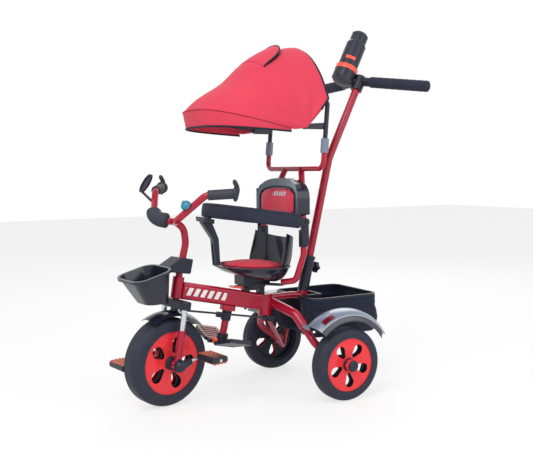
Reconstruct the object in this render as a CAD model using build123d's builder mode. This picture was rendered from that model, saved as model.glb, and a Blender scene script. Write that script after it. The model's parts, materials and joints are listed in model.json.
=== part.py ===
from build123d import *

import os
from math import atan2, copysign, cos, degrees, hypot, pi, radians, sin, tan

os.makedirs("parts", exist_ok=True)

# Row frame, in millimetres: +X forward, +Y to the child's left, +Z up.
# The origin is on the floor, midway between the rear wheels.

# ---- driving dimensions ----------------------------------------------------
wheelbase = 479.0
track = 436.0  # between the rear wheels' middle planes
front_wheel_radius = 130.0
rear_wheel_radius = 109.0
tyre_width = 52.0
front_tyre_height = 37.0  # from rim seat to tread
rear_tyre_height = 29.5
rake = 9.4  # the steering axis leans back by this many degrees
steer_at_rest = 12.5  # the front end stands turned this far to the left
running = 0.06  # radial clearance of a shaft in its hole
gap = 0.4  # between faces of different moving pieces

# Steel tube sizes (outer radii and wall)
tube_wall = 1.5
frame_tube_radius = 11.0
leg_sleeve_radius = 15.0
bar_radius = 10.5
handlebar_radius = 10.0
seat_tube_radius = 9.5
canopy_tube_radius = 8.0
axle_radius = 4.5
stub_radius = 6.0


def places(frame, *points):
    """Points given in a frame's own coordinates, in the row frame."""
    return [frame.from_local_coords(Vector(*point)) for point in points]


def tube(points, bends, radius, wall=0.0, mode=Mode.ADD):
    """Adds or cuts a round tube along straight runs joined by tangent bends."""
    with BuildLine(Plane.XY, mode=Mode.PRIVATE) as route:
        FilletPolyline(*points, radius=bends)
    path = route.wires()[0]
    with BuildSketch(Plane(origin=path @ 0, z_dir=path % 0), mode=Mode.PRIVATE) as section:
        Circle(radius)
        if wall:
            Circle(radius - wall, mode=Mode.SUBTRACT)
    sweep(section.sketch, path=path, mode=mode)


def rod_between(ends, radius, mode=Mode.ADD):
    """Adds or cuts a straight round bar from the first point to the second."""
    start, end = (Vector(point) for point in ends)
    run = end - start
    with BuildSketch(Plane(origin=start, z_dir=run), mode=Mode.PRIVATE) as section:
        Circle(radius)
    extrude(section.sketch, amount=run.length, mode=mode)


def finish(part, label):
    """Labels a finished piece and writes it to its own STEP file."""
    part.label = label
    export_step(part, f"parts/{label}.step")


def section_plane(frame):
    """The plane through a frame's axis: x is radial and y runs along the axis."""
    return Plane(origin=frame.origin, x_dir=frame.x_dir, z_dir=-frame.y_dir)


def spun(frame, angle):
    """A frame turned about its own axis, in degrees."""
    turned = frame.x_dir.rotate(Axis((0, 0, 0), frame.z_dir), angle)
    return Plane(origin=frame.origin, x_dir=turned, z_dir=frame.z_dir)


# ---- reference frames -------------------------------------------------------
front_axle = Vector(wheelbase, 0, front_wheel_radius)
steer_up = Vector(-sin(radians(rake)), 0, cos(radians(rake)))
steer_forward = Vector(cos(radians(rake)), 0, sin(radians(rake)))
turned_forward = steer_forward.rotate(Axis((0, 0, 0), steer_up), steer_at_rest)
# x forward, y to the left and z up the steering axis, from the front axle's middle
fork = Plane(origin=front_axle, x_dir=turned_forward, z_dir=steer_up)
fork_side = section_plane(fork)  # x forward, y up: the fork's middle plane

bar_lean = 13.5  # the push bar's socket leans back by this many degrees
bar_pivot_x = 11.0
bar_pivot_z = 301.0
bar_up = Vector(-sin(radians(bar_lean)), 0, cos(radians(bar_lean)))
bar_forward = Vector(cos(radians(bar_lean)), 0, sin(radians(bar_lean)))
turned_bar = bar_forward.rotate(Axis((0, 0, 0), bar_up), steer_at_rest)
# x forward and z up the push bar's turning axis, from the foot of its socket
bar = Plane(origin=(bar_pivot_x, 0, bar_pivot_z), x_dir=turned_bar, z_dir=bar_up)
bar_side = section_plane(bar)

# ---- wheels -----------------------------------------------------------------
hole_count = 5
cover_thickness = 2.5
cover_inset = 3.5  # from the tyre's side to the cover's face
rim_wall = 5.0
web_thickness = 6.0
hub_radius = 20.0


def tyre(frame, radius, height):
    """A round-shouldered foam tyre: its section revolved about the axle."""
    shoulder = min(0.55 * height, 0.4 * tyre_width)
    with BuildPart() as made:
        with BuildSketch(section_plane(frame)) as section:
            with Locations((radius - height / 2, 0)):
                Rectangle(height, tyre_width)
            fillet(section.vertices().group_by(Axis(frame.origin, frame.x_dir))[-1], shoulder)
        revolve(axis=Axis(frame.origin, frame.z_dir))
    return made.part


def cut_pears(frame, radius, phase, reach):
    """Cuts the wheel's pear-shaped holes: the hull of a large and a small circle."""
    for index in range(hole_count):
        turned = spun(frame, phase + 360 / hole_count * index)
        with BuildSketch(turned, mode=Mode.PRIVATE) as pear:
            with Locations((0.66 * radius, 0)):
                Circle(0.19 * radius)
            with Locations((0.40 * radius, 0)):
                Circle(0.09 * radius)
            make_hull()
        extrude(pear.sketch, amount=reach, both=True, mode=Mode.SUBTRACT)


def rim(frame, seat_radius, hub_half, bore, phase):
    """The black wheel body: barrel, holed web and hub, bored for its axle."""
    half = tyre_width / 2 - cover_inset - cover_thickness
    with BuildPart() as made:
        with BuildSketch(section_plane(frame)):
            with Locations((seat_radius - rim_wall / 2, 0)):
                Rectangle(rim_wall, 2 * half)
            with Locations((seat_radius / 2, 0)):
                Rectangle(seat_radius - rim_wall, web_thickness)
            with Locations((hub_radius / 2, 0)):
                Rectangle(hub_radius, 2 * hub_half)
            with Locations((bore / 2, 0)):
                Rectangle(bore, 4 * hub_half, mode=Mode.SUBTRACT)
        revolve(axis=Axis(frame.origin, frame.z_dir))
        cut_pears(frame, seat_radius, phase, web_thickness)
    return made.part


def cover(frame, side, seat_radius, bore, phase):
    """The red disc on one side of a wheel, dished and with the same holes."""
    outer = tyre_width / 2 - cover_inset
    inner = outer - cover_thickness
    dish = 4.0
    with BuildPart() as made:
        with BuildSketch(section_plane(frame)):
            with BuildLine():
                Polyline(
                    (bore, side * (outer - dish)),
                    (0.40 * seat_radius, side * (outer - dish)),
                    (0.62 * seat_radius, side * outer),
                    (seat_radius, side * outer),
                    (seat_radius, side * inner),
                    (0.60 * seat_radius, side * inner),
                    (0.39 * seat_radius, side * (inner - dish)),
                    (bore, side * (inner - dish)),
                    close=True,
                )
            make_face()
        revolve(axis=Axis(frame.origin, frame.z_dir))
        cut_pears(frame, seat_radius, phase, tyre_width)
    return made.part


front_wheel = Plane(origin=front_axle, x_dir=fork.x_dir, z_dir=fork.y_dir)
front_seat_radius = front_wheel_radius - front_tyre_height
front_hub_half = 34.0
front_phase = -29.0
finish(tyre(front_wheel, front_wheel_radius, front_tyre_height), "front_tyre")
finish(rim(front_wheel, front_seat_radius, front_hub_half, axle_radius, front_phase), "front_rim")
front_covers = [cover(front_wheel, side, front_seat_radius, hub_radius, front_phase) for side in (1, -1)]
finish(Compound(children=front_covers), "front_covers")

rear_seat_radius = rear_wheel_radius - rear_tyre_height
rear_hub_half = 30.0
rear_phase = 18.0
hub_cap_radius = 21.0
hub_cap_depth = 9.0
for name, side in (("left", 1), ("right", -1)):
    wheel = Plane(origin=(0, side * track / 2, rear_wheel_radius), x_dir=(1, 0, 0), z_dir=(0, side, 0))
    finish(tyre(wheel, rear_wheel_radius, rear_tyre_height), f"rear_tyre_{name}")
    wheel_body = rim(wheel, rear_seat_radius, rear_hub_half, stub_radius + running, side * rear_phase)
    finish(wheel_body, f"rear_rim_{name}")
    disc = cover(wheel, 1, rear_seat_radius, hub_radius, side * rear_phase)
    # The six-sided cap closes the hub over the axle's end.
    with BuildPart() as capped:
        add(disc)
        with BuildSketch(wheel.offset(rear_hub_half)):
            RegularPolygon(hub_cap_radius, 6)
        extrude(amount=hub_cap_depth, taper=20)
    finish(Compound(children=list(capped.part.solids())), f"rear_cover_{name}")

# ---- crank and pedals --------------------------------------------------------
crank_throw = 80.0
crank_angle = 205.6  # of the left crank, from forward over the top
fork_leg_y = 50.0
leg_end_length = 18.0  # the fork end's boss, along the axle
crank_bend = 8.0
crank_arm_y = fork_leg_y + leg_end_length / 2 + crank_bend + 2.0
pedal_inner_y = crank_arm_y + crank_bend + 1.0
pedal_length = 74.0
pedal_width = 54.0
pedal_thickness = 20.0
pedal_end_gap = 4.0
crank_x = crank_throw * cos(radians(crank_angle))
crank_z = -crank_throw * sin(radians(crank_angle))
pedal_pin_end = pedal_inner_y + pedal_length + pedal_end_gap

with BuildPart() as crank:
    crank_route = places(
        fork,
        (crank_x, pedal_pin_end, crank_z),
        (crank_x, crank_arm_y, crank_z),
        (0, crank_arm_y, 0),
        (0, -crank_arm_y, 0),
        (-crank_x, -crank_arm_y, -crank_z),
        (-crank_x, -pedal_pin_end, -crank_z),
    )
    tube(crank_route, crank_bend, axle_radius)
finish(crank.part, "crank")

pedal_level = fork.y_dir.cross(Vector(0, 0, 1)).normalized()
for name, side in (("left", 1), ("right", -1)):
    centre = places(fork, (side * crank_x, side * pedal_inner_y, side * crank_z))[0]
    pedal_frame = Plane(origin=centre, x_dir=pedal_level, z_dir=fork.y_dir * side)
    with BuildPart() as pedal:
        with BuildSketch(pedal_frame):
            RectangleRounded(pedal_width, pedal_thickness, 7)
            with GridLocations(pedal_width - 18, pedal_thickness - 0.8, 2, 2):
                Circle(2.2)
            with GridLocations(pedal_width / 4, pedal_thickness, 2, 2):
                Circle(2.2)
            Circle(axle_radius + running, mode=Mode.SUBTRACT)
        extrude(amount=pedal_length)
    finish(pedal.part, f"pedal_{name}")

# ---- fork ----------------------------------------------------------------------
leg_radius = 11.0
leg_boss_radius = 15.0
leg_top = 100.0
stanchion_radius = 8.5
stanchion_depth = 40.0
crown_base = 160.0
crown_height = 24.0
crown_depth = 34.0
crown_seat = 14.0  # how far the stem and the stanchions enter the crown
crown_top = crown_base + crown_height
head_base = crown_top + 4.0
head_top = 250.0

with BuildPart() as fork_legs:
    for y in (fork_leg_y, -fork_leg_y):
        rod_between(places(fork, (0, y, 0), (0, y, leg_top)), leg_radius)
        half = leg_end_length / 2
        rod_between(places(fork, (0, y - half, 0), (0, y + half, 0)), leg_boss_radius)
        rod_between(
            places(fork, (0, y, leg_top - stanchion_depth), (0, y, leg_top)),
            stanchion_radius + running,
            mode=Mode.SUBTRACT,
        )
    rod_between(
        places(fork, (0, -crank_arm_y, 0), (0, crank_arm_y, 0)),
        axle_radius + running,
        mode=Mode.SUBTRACT,
    )
finish(fork_legs.part, "fork_legs")

with BuildPart() as fork_stanchions:
    for y in (fork_leg_y, -fork_leg_y):
        bottom = leg_top - stanchion_depth
        rod_between(places(fork, (0, y, bottom), (0, y, crown_base + crown_seat)), stanchion_radius)
finish(fork_stanchions.part, "fork_stanchions")

rod_pin = (-6.0, 30.0)  # the steering rod's pin on the crown: forward and left of the axis
rod_pin_radius = 4.0
rod_eye_radius = 8.0
rod_thickness = 6.0
rod_level = crown_base - 1.0 - rod_thickness / 2
with BuildPart(fork) as fork_crown:
    with BuildSketch(fork.offset(crown_base)):
        SlotOverall(2 * fork_leg_y + crown_depth, crown_depth, rotation=90)
    extrude(amount=crown_height)
    fillet(fork_crown.faces().sort_by(Axis(front_axle, steer_up))[-1].edges(), 5)
    with BuildSketch(fork.offset(crown_base)):
        with Locations((0, fork_leg_y), (0, -fork_leg_y)):
            Circle(stanchion_radius + running)
    extrude(amount=crown_seat, mode=Mode.SUBTRACT)
    with BuildSketch(fork.offset(crown_top - crown_seat)):
        Circle(bar_radius + running)
    extrude(amount=crown_seat, mode=Mode.SUBTRACT)
    with BuildSketch(fork.offset(rod_level - rod_thickness / 2)):
        with Locations(rod_pin):
            Circle(rod_pin_radius)
    extrude(until=Until.NEXT)
finish(fork_crown.part, "fork_crown")

# Front mudguard: an arched strip round the wheel, held under the crown.
guard_radius = 149.0  # to the underside of its crest
guard_wall = 2.5
guard_half_width = 36.0
guard_lip = 9.0
guard_from = 53.0  # from forward over the top
guard_to = 132.0
with BuildPart() as front_fender:
    guard_start = spun(front_wheel, -guard_from)
    with BuildSketch(section_plane(guard_start)):
        with BuildLine():
            outer_arc = ThreePointArc(
                (guard_radius - guard_lip, -guard_half_width),
                (guard_radius + guard_wall, 0),
                (guard_radius - guard_lip, guard_half_width),
            )
            Line(outer_arc @ 1, (guard_radius - guard_lip - 1, guard_half_width - guard_wall))
            ThreePointArc(
                (guard_radius - guard_lip - 1, guard_half_width - guard_wall),
                (guard_radius, 0),
                (guard_radius - guard_lip - 1, guard_wall - guard_half_width),
            )
            Line((guard_radius - guard_lip - 1, guard_wall - guard_half_width), outer_arc @ 0)
        make_face()
    revolve(axis=Axis(front_axle, front_wheel.z_dir * -1), revolution_arc=guard_to - guard_from)
    rod_between(places(fork, (0, 0, guard_radius + 1), (0, 0, crown_base)), 12)
finish(front_fender.part, "front_fender")

# Stem and handlebar, one bent tube on another, in the fork's own frame.
bar_joint = (36, 0, 406)
rise_bend = (77, 56, 409)
grip_bend = (38, 125, 491)
grip_out = (-21, 180, 507)


def mirrored(point):
    """The same point on the right-hand side."""
    return (point[0], -point[1], point[2])


def toward(start, end, distance):
    """The point at a distance from start on the way to end."""
    return Vector(start) + (Vector(end) - Vector(start)).normalized() * distance


stem_points = [(0, 0, crown_top - crown_seat), (0, 0, 260), (-8, 0, 350), (6, 0, 392), bar_joint]
bar_points = [grip_out, grip_bend, rise_bend, bar_joint]
bar_points += [mirrored(point) for point in (rise_bend, grip_bend, grip_out)]
bar_bends = [32, 35, 28, 35, 32]
with BuildPart() as handlebar:
    tube(places(fork, *stem_points), [60, 60, 40], bar_radius)
    tube(places(fork, *bar_points), bar_bends, handlebar_radius)
finish(handlebar.part, "handlebar")

grip_radius = 12.5
grip_length = 68.0
horn_radius = 6.5
pad_radius = 22.0
pad_from = 23.0  # from the joint to the padding's start
pad_past = 30.0  # from the bend to the padding's end
soft_gap = 0.35
with BuildPart() as handlebar_foam:
    for side in (1, -1):
        tip = Vector(grip_out[0], side * grip_out[1], grip_out[2])
        inward = Vector(grip_bend[0], side * grip_bend[1], grip_bend[2]) - tip
        inward = inward.normalized()
        rod_between(places(fork, tip, tip + inward * grip_length), grip_radius)
        rod_between(places(fork, tip - inward * 4, tip + inward * 3), grip_radius + 6)
        rod_between(places(fork, tip, tip + inward * grip_length), handlebar_radius + running, mode=Mode.SUBTRACT)
        horn = [tip - inward * 2 + Vector(*step) for step in ((0, 0, -22), (-5, 0, 14), (14, 0, 36))]
        tube(places(fork, *horn), 24, horn_radius)
        rod_between(places(fork, tip, tip + inward * 20), handlebar_radius + running, mode=Mode.SUBTRACT)
    # The padding follows the bar on the right-hand side.
    pad_start = toward(bar_joint, mirrored(rise_bend), pad_from)
    pad_end = toward(mirrored(rise_bend), mirrored(grip_bend), pad_past)
    pad_route = places(fork, pad_start, mirrored(rise_bend), pad_end)
    tube(pad_route, 35, pad_radius, wall=pad_radius - handlebar_radius - soft_gap)
finish(handlebar_foam.part, "handlebar_foam")

# Hand mirror: a leaf-shaped rim on a stalk, out in front of the right grip.
mirror_centre = Vector(72, -129, 509)
mirror_long = 36.0
mirror_short = 14.0
mirror_depth = 7.0
mirror_foot = toward(mirrored(rise_bend), mirrored(grip_bend), 60)
mirror_lean = 48.0
with BuildPart() as mirror:
    mirror_plane = Plane(origin=places(fork, mirror_centre)[0], x_dir=fork.y_dir, z_dir=fork.x_dir)
    mirror_plane = spun(mirror_plane, mirror_lean)
    with BuildSketch(mirror_plane):
        Ellipse(mirror_long, mirror_short)
        Ellipse(mirror_long - 5, mirror_short - 5, mode=Mode.SUBTRACT)
    extrude(amount=mirror_depth / 2, both=True)
    with BuildSketch(mirror_plane):
        Ellipse(mirror_long - 4, mirror_short - 4)
    extrude(amount=1.2)
    leaf_axis = Vector(0, cos(radians(mirror_lean)), sin(radians(mirror_lean)))
    leaf_end = mirror_centre - leaf_axis * (mirror_long - 5)
    rod_between(places(fork, mirror_foot, leaf_end), 4)
    tube(places(fork, *bar_points), bar_bends, handlebar_radius + running, mode=Mode.SUBTRACT)
finish(mirror.part, "mirror")

bell_radius = 15.0
bell_seat = toward(rise_bend, grip_bend, 52)
with BuildPart() as bell:
    bell_plane = Plane(origin=places(fork, bell_seat)[0], x_dir=fork.y_dir, z_dir=fork.x_dir * 0.8 + fork.z_dir * 0.6)
    with BuildSketch(section_plane(bell_plane)):
        with BuildLine():
            Polyline((0, 9), (9, 9), (9, 14), (bell_radius, 14), (bell_radius, 20))
            RadiusArc((bell_radius, 20), (5, 29), -14)
            Polyline((5, 29), (5, 32), (0, 32), (0, 9))
        make_face()
    revolve(axis=Axis(bell_plane.origin, bell_plane.z_dir))
    tube(places(fork, *bar_points), bar_bends, handlebar_radius + running, mode=Mode.SUBTRACT)
finish(bell.part, "bell")

# Front tub: tapered, with its mouth slanting down to the front.
tub_wall = 3.0
tub_rear_low = (40, 176)
tub_front_low = (116, 165)
tub_rear_high = (65, 276)
tub_front_high = (177, 228.7)
tub_low_half = 37.0
tub_high_half = 63.7
tub_rounding = 0.28  # the corners' radius, as a share of the level's length


def tub_section(rear, front, half_width, inset, lift):
    """One rounded level of the tub, between its rear and front wall."""
    length = hypot(front[0] - rear[0], front[1] - rear[1])
    along = Vector((front[0] - rear[0]) / length, 0, (front[1] - rear[1]) / length)
    middle = Vector((front[0] + rear[0]) / 2, 0, (front[1] + rear[1]) / 2)
    upward = Vector(-along.Z, 0, along.X)
    ends = places(fork, (0, 0, 0), along, upward)
    plane = Plane(
        origin=places(fork, middle + upward * lift)[0],
        x_dir=ends[1] - ends[0],
        z_dir=ends[2] - ends[0],
    )
    with BuildSketch(plane, mode=Mode.PRIVATE) as level:
        RectangleRounded(length - 2 * inset, 2 * (half_width - inset), tub_rounding * length - inset)
    return level.sketch


with BuildPart() as front_basket:
    loft([
        tub_section(tub_rear_low, tub_front_low, tub_low_half, 0, 0),
        tub_section(tub_rear_high, tub_front_high, tub_high_half, 0, 0),
    ])
    mouth = tub_section(tub_rear_high, tub_front_high, tub_high_half, -4, -7)
    extrude(mouth, amount=7)
    loft([
        tub_section(tub_rear_low, tub_front_low, tub_low_half, tub_wall, tub_wall),
        tub_section(tub_rear_high, tub_front_high, tub_high_half, tub_wall, tub_wall),
    ], mode=Mode.SUBTRACT)
finish(front_basket.part, "front_basket")

bracket_low = 262.0
bracket_high = 306.0
bracket_width = 52.0
with BuildPart() as front_basket_bracket:
    wall_slope = (tub_rear_high[0] - tub_rear_low[0]) / (tub_rear_high[1] - tub_rear_low[1])
    low_front = tub_rear_low[0] + (bracket_low - tub_rear_low[1]) * wall_slope - 4.3
    with BuildSketch(fork_side):
        Polygon(
            (-22, bracket_low), (low_front, bracket_low), (low_front + 2, bracket_high - 30),
            (18, bracket_high), (-24, bracket_high), align=None,
        )
    extrude(amount=bracket_width / 2, both=True)
    fillet(front_basket_bracket.edges().filter_by(lambda edge: edge.length > bracket_width - 1), 4)
    tube(places(fork, *stem_points), [60, 60, 40], bar_radius + running, mode=Mode.SUBTRACT)
finish(front_basket_bracket.part, "front_basket_bracket")

# ---- main frame ------------------------------------------------------------------
beam_rear_x = 157.0
beam_rear_z = 276.0
beam_front_x = 430.0
beam_slope = 12.4
beam_height = 52.0
beam_width = 28.0
head_radius = 17.0
knuckle_x = 150.0
knuckle_radius = 22.0
knuckle_low = 238.0
knuckle_high = 302.0
rear_tube_z = 290.0
plate_x = -30.0  # rear face of the plate that carries the bin
boss_radius = 17.0
boss_length = 22.0
spindle_radius = 9.0
spindle_length = 24.0
relay_centre = Vector(knuckle_x, 0, 229)
relay_pin_radius = 5.0
relay_hub_radius = 12.0
relay_thickness = 6.0
relay_low = -10.0
relay_high = 2.0
relay_head = 3.0
bracket_depth = 14.0
footrest_x = 279.0
foot_tube_radius = 11.0

beam_along = Vector(cos(radians(beam_slope)), 0, sin(radians(beam_slope)))
beam_up = Vector(-sin(radians(beam_slope)), 0, cos(radians(beam_slope)))
beam = Plane(origin=(beam_rear_x, 0, beam_rear_z), x_dir=(0, 1, 0), z_dir=beam_along)


def beam_edge(x, side):
    """Height of the beam's top (side 1) or bottom (side -1) at a place along X."""
    middle = beam_rear_z + (x - beam_rear_x) * tan(radians(beam_slope))
    return middle + side * beam_height / 2 / cos(radians(beam_slope))


# x forward along the beam, z up square to it, from the beam's underside over the footrest
foot = Plane(
    origin=(footrest_x, 0, beam_edge(footrest_x, -1)), x_dir=beam_along, z_dir=beam_up
)
relay = Plane(origin=relay_centre, x_dir=turned_forward, z_dir=steer_up)

with BuildPart() as main_beam:
    beam_length = (beam_front_x - beam_rear_x) / cos(radians(beam_slope))
    with BuildSketch(beam):
        RectangleRounded(beam_width, beam_height, 9)
    extrude(amount=beam_length)
    with BuildSketch(beam.offset(knuckle_radius)):
        RectangleRounded(beam_width - 4, beam_height - 4, 7)
    extrude(amount=beam_length - knuckle_radius - 20, mode=Mode.SUBTRACT)
    rod_between(places(fork, (0, 0, head_base), (0, 0, head_top)), head_radius)
    rod_between([(knuckle_x, 0, knuckle_low), (knuckle_x, 0, knuckle_high)], knuckle_radius)
    rear_route = [
        (knuckle_x, 0, rear_tube_z - 2),
        (56, 0, rear_tube_z),
        (20, 0, rear_tube_z - 4),
        (-8, 0, rear_tube_z - 16),
        (-22, 0, rear_tube_z - 24),
    ]
    tube(rear_route, [60, 60, 60], frame_tube_radius)
    with BuildSketch(Plane.YZ.offset(plate_x)):
        with Locations((0, rear_tube_z - 26)):
            RectangleRounded(52, 40, 8)
    extrude(amount=6)
    rod_between(places(bar, (0, 0, -boss_length), (0, 0, -gap)), boss_radius)
    rod_between(places(bar, (0, 0, -boss_length), (0, 0, spindle_length)), spindle_radius)
    relay_bottom = relay_low - gap - relay_head
    rod_between(places(relay, (0, 0, relay_bottom), (0, 0, 14)), relay_pin_radius)
    rod_between(places(relay, (0, 0, relay_bottom), (0, 0, relay_low - gap)), relay_pin_radius + 4)
    with BuildSketch(foot.offset(-bracket_depth)):
        RectangleRounded(44, 30, 8)
    extrude(amount=bracket_depth + 1)
    with BuildSketch(foot.offset(-bracket_depth)):
        Circle(foot_tube_radius + running)
    extrude(amount=bracket_depth - 2, mode=Mode.SUBTRACT)
    rod_between(places(fork, (0, 0, head_base), (0, 0, head_top)), bar_radius + running, mode=Mode.SUBTRACT)
finish(main_beam.part, "main_beam")

# Rear legs: a thick sleeve over a bent tube, a boss, and a stub axle for the wheel.
leg_tube_radius = 11.5
leg_boss_y = 176.0
leg_boss_half = 9.0
leg_boss = 16.0
hub_inner_y = track / 2 - rear_hub_half
hub_outer_y = track / 2 + rear_hub_half
joint_gap = 0.3
for name, side in (("left", 1), ("right", -1)):
    with BuildPart() as leg:
        start = (131, side * 10, 274)
        knee = (100, side * 100, 248)
        step = (90, side * 129, 215)
        ankle = (75, side * 172, 165)
        heel = (0, side * leg_boss_y, rear_wheel_radius)
        tube([start, knee, step], 45, leg_sleeve_radius)
        tube([start, knee, ankle, heel], [45, 40], leg_tube_radius)
        inner_y, outer_y = side * (leg_boss_y - leg_boss_half), side * (leg_boss_y + leg_boss_half)
        rod_between([(0, inner_y, rear_wheel_radius), (0, outer_y, rear_wheel_radius)], leg_boss)
        stub_end = side * (hub_outer_y - gap)
        rod_between([(0, outer_y, rear_wheel_radius), (0, stub_end, rear_wheel_radius)], stub_radius)
        rod_between(
            [(knuckle_x, 0, knuckle_low - 10), (knuckle_x, 0, knuckle_high + 10)],
            knuckle_radius + joint_gap,
            mode=Mode.SUBTRACT,
        )
        tube(rear_route, [60, 60, 60], frame_tube_radius + joint_gap, mode=Mode.SUBTRACT)
    finish(leg.part, f"frame_leg_{name}")

# The right side alone has a bent stay from the knuckle past the wheel boss.
stay_radius = 8.0
with BuildPart() as right_stay:
    tube([(143, -18, 243), (-14, -170, 78), (-32, -172, 150)], 12, stay_radius)
    rod_between(
        [(knuckle_x, 0, knuckle_low - 10), (knuckle_x, 0, knuckle_high + 10)],
        knuckle_radius + joint_gap,
        mode=Mode.SUBTRACT,
    )
    rod_between(
        [(0, -leg_boss_y - 30, rear_wheel_radius), (0, -leg_boss_y + 30, rear_wheel_radius)],
        leg_boss + joint_gap,
        mode=Mode.SUBTRACT,
    )
    tube([(131, -10, 274), (100, -100, 248), (90, -129, 215)], 45, leg_sleeve_radius + joint_gap, mode=Mode.SUBTRACT)
finish(right_stay.part, "right_stay")

# Rear mudguards: a hooded strip over each wheel, tapering to a point behind.
hood_from = 47.0
hood_to = 152.0
hood_wall = 2.5
hood_inner = 38.0  # inner edge, from the wheel's middle plane
hood_outer = 32.0
for name, side in (("left", 1), ("right", -1)):
    axle = Vector(0, side * track / 2, rear_wheel_radius)
    wheel = Plane(origin=axle, x_dir=(1, 0, 0), z_dir=(0, 1, 0))
    with BuildPart() as fender:
        first = spun(wheel, -hood_from)
        with BuildSketch(section_plane(first)):
            with BuildLine():
                top = Spline(
                    (160, -side * hood_inner),
                    (164, -side * 10),
                    (154, side * 20),
                    (131, side * hood_outer),
                )
                Line(top @ 1, (131, side * (hood_outer - hood_wall)))
                low = Spline(
                    (131, side * (hood_outer - hood_wall)),
                    (152, side * 17.5),
                    (161.5, -side * 10),
                    (157.5, -side * hood_inner),
                )
                Line(low @ 1, top @ 0)
            make_face()
        revolve(axis=Axis(axle, wheel.z_dir * -1), revolution_arc=hood_to - hood_from)
        # The rear end is cut back to a point, seen from above.
        with BuildSketch(Plane.XY.offset(rear_wheel_radius)):
            for edge in (1, -1):
                corner = track / 2 * side + edge * 60
                Polygon(
                    (-60, corner), (-96, side * track / 2 + edge * 42), (-155, side * track / 2),
                    (-200, side * track / 2), (-200, corner), align=None,
                )
        extrude(amount=120, mode=Mode.SUBTRACT)
        # A strap runs from the hood's front to the leg's step.
        rod_between([(91, side * 126, 218), (109, side * 182, 221)], 7)
        tube(
            [(131, side * 10, 274), (100, side * 100, 248), (90, side * 129, 215)],
            45, leg_sleeve_radius + joint_gap, mode=Mode.SUBTRACT,
        )
        tube(
            [(131, side * 10, 274), (100, side * 100, 248), (75, side * 172, 165)],
            45, leg_tube_radius + joint_gap, mode=Mode.SUBTRACT,
        )
    finish(fender.part, f"rear_fender_{name}")

# Rear bin: a fabric tub hung on a wire, notched in front for the push bar's foot.
bin_front = 48.0
bin_rear = -197.0
bin_half = 120.0
bin_low = 170.0
bin_high = 284.0
bin_wall = 3.0
notch_half = 36.0
notch_rear = plate_x - 0.4
wire_radius = 3.5


def bin_outline(inset):
    """The bin's outline from above, drawn in by an inset."""
    with BuildSketch(mode=Mode.PRIVATE) as outline:
        with Locations(((bin_front + bin_rear) / 2, 0)):
            RectangleRounded(bin_front - bin_rear - 2 * inset, 2 * (bin_half - inset), 30 - inset)
        with Locations(((bin_front + notch_rear) / 2 + 20 - inset / 2, 0)):
            Rectangle(bin_front - notch_rear + 40 + inset, 2 * (notch_half + inset), mode=Mode.SUBTRACT)
    return outline.sketch


with BuildPart() as rear_basket:
    extrude(Plane.XY.offset(bin_low) * bin_outline(0), amount=bin_high - bin_low)
    extrude(Plane.XY.offset(bin_low + bin_wall) * bin_outline(bin_wall), amount=bin_high, mode=Mode.SUBTRACT)
finish(rear_basket.part, "rear_basket")

with BuildPart() as rear_basket_rim:
    level = bin_high + joint_gap
    extrude(Plane.XY.offset(level) * bin_outline(-2), amount=2 * wire_radius)
    extrude(Plane.XY.offset(level) * bin_outline(-2 + 2 * wire_radius), amount=2 * wire_radius, mode=Mode.SUBTRACT)
finish(rear_basket_rim.part, "rear_basket_rim")

# ---- steering link -----------------------------------------------------------------
pivot_clearance = 1.0  # the link's open rear pivot
with BuildPart(relay) as relay_lever:
    with BuildSketch(relay.offset(relay_low)):
        Circle(relay_hub_radius)
        with Locations((rod_pin[0] / 2, rod_pin[1] / 2)):
            SlotCenterToCenter(hypot(*rod_pin), 16, rotation=degrees(atan2(rod_pin[1], rod_pin[0])))
    extrude(amount=relay_thickness)
    with BuildSketch(relay.offset(relay_low)):
        Circle(relay_hub_radius)
    extrude(amount=relay_high - relay_low)
    with BuildSketch(relay.offset(relay_low)):
        with Locations(rod_pin):
            Circle(rod_pin_radius)
    extrude(amount=relay_thickness + 1 + rod_thickness + 2)
    with BuildSketch(relay.offset(relay_low)):
        Circle(relay_pin_radius + running)
    extrude(amount=relay_high - relay_low, mode=Mode.SUBTRACT)
finish(relay_lever.part, "relay_lever")

rod_front = places(fork, (rod_pin[0], rod_pin[1], rod_level))[0]
rod_rear = places(relay, (rod_pin[0], rod_pin[1], relay_low + relay_thickness + 1 + rod_thickness / 2))[0]
with BuildPart() as steering_rod:
    for eye in (rod_front, rod_rear):
        ends = [eye - steer_up * rod_thickness / 2, eye + steer_up * rod_thickness / 2]
        rod_between(ends, rod_eye_radius)
    rod_between([rod_front, rod_rear], rod_thickness / 2)
    for eye, slack in ((rod_front, running), (rod_rear, pivot_clearance)):
        ends = [eye - steer_up * rod_thickness, eye + steer_up * rod_thickness]
        rod_between(ends, rod_pin_radius + slack, mode=Mode.SUBTRACT)
finish(steering_rod.part, "steering_rod")

# ---- push bar -----------------------------------------------------------------------
push_radius = 12.5
socket_radius = 17.5
socket_length = 112.0
socket_floor = 34.0
push_low = socket_floor
push_bend = (0, 0, 431)
push_top = (-72, 0, 709)
knob_level = 80.0
knob_radius = 18.0
knob_screw = 4.0

with BuildPart() as bar_socket:
    rod_between(places(bar, (0, 0, 0), (0, 0, socket_length)), socket_radius)
    rod_between(places(bar, (0, 0, socket_length - 10), (0, 0, socket_length)), socket_radius + 2)
    rod_between(places(bar, (0, 0, knob_level), (-26, 0, knob_level)), 10)
    rod_between(places(bar, (0, 0, -1), (0, 0, spindle_length + 1)), spindle_radius + running, mode=Mode.SUBTRACT)
    rod_between(
        places(bar, (0, 0, socket_floor), (0, 0, socket_length + 1)), push_radius + running, mode=Mode.SUBTRACT
    )
    rod_between(
        places(bar, (0, 0, knob_level), (-30, 0, knob_level)), knob_screw + running, mode=Mode.SUBTRACT
    )
finish(bar_socket.part, "bar_socket")

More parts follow.
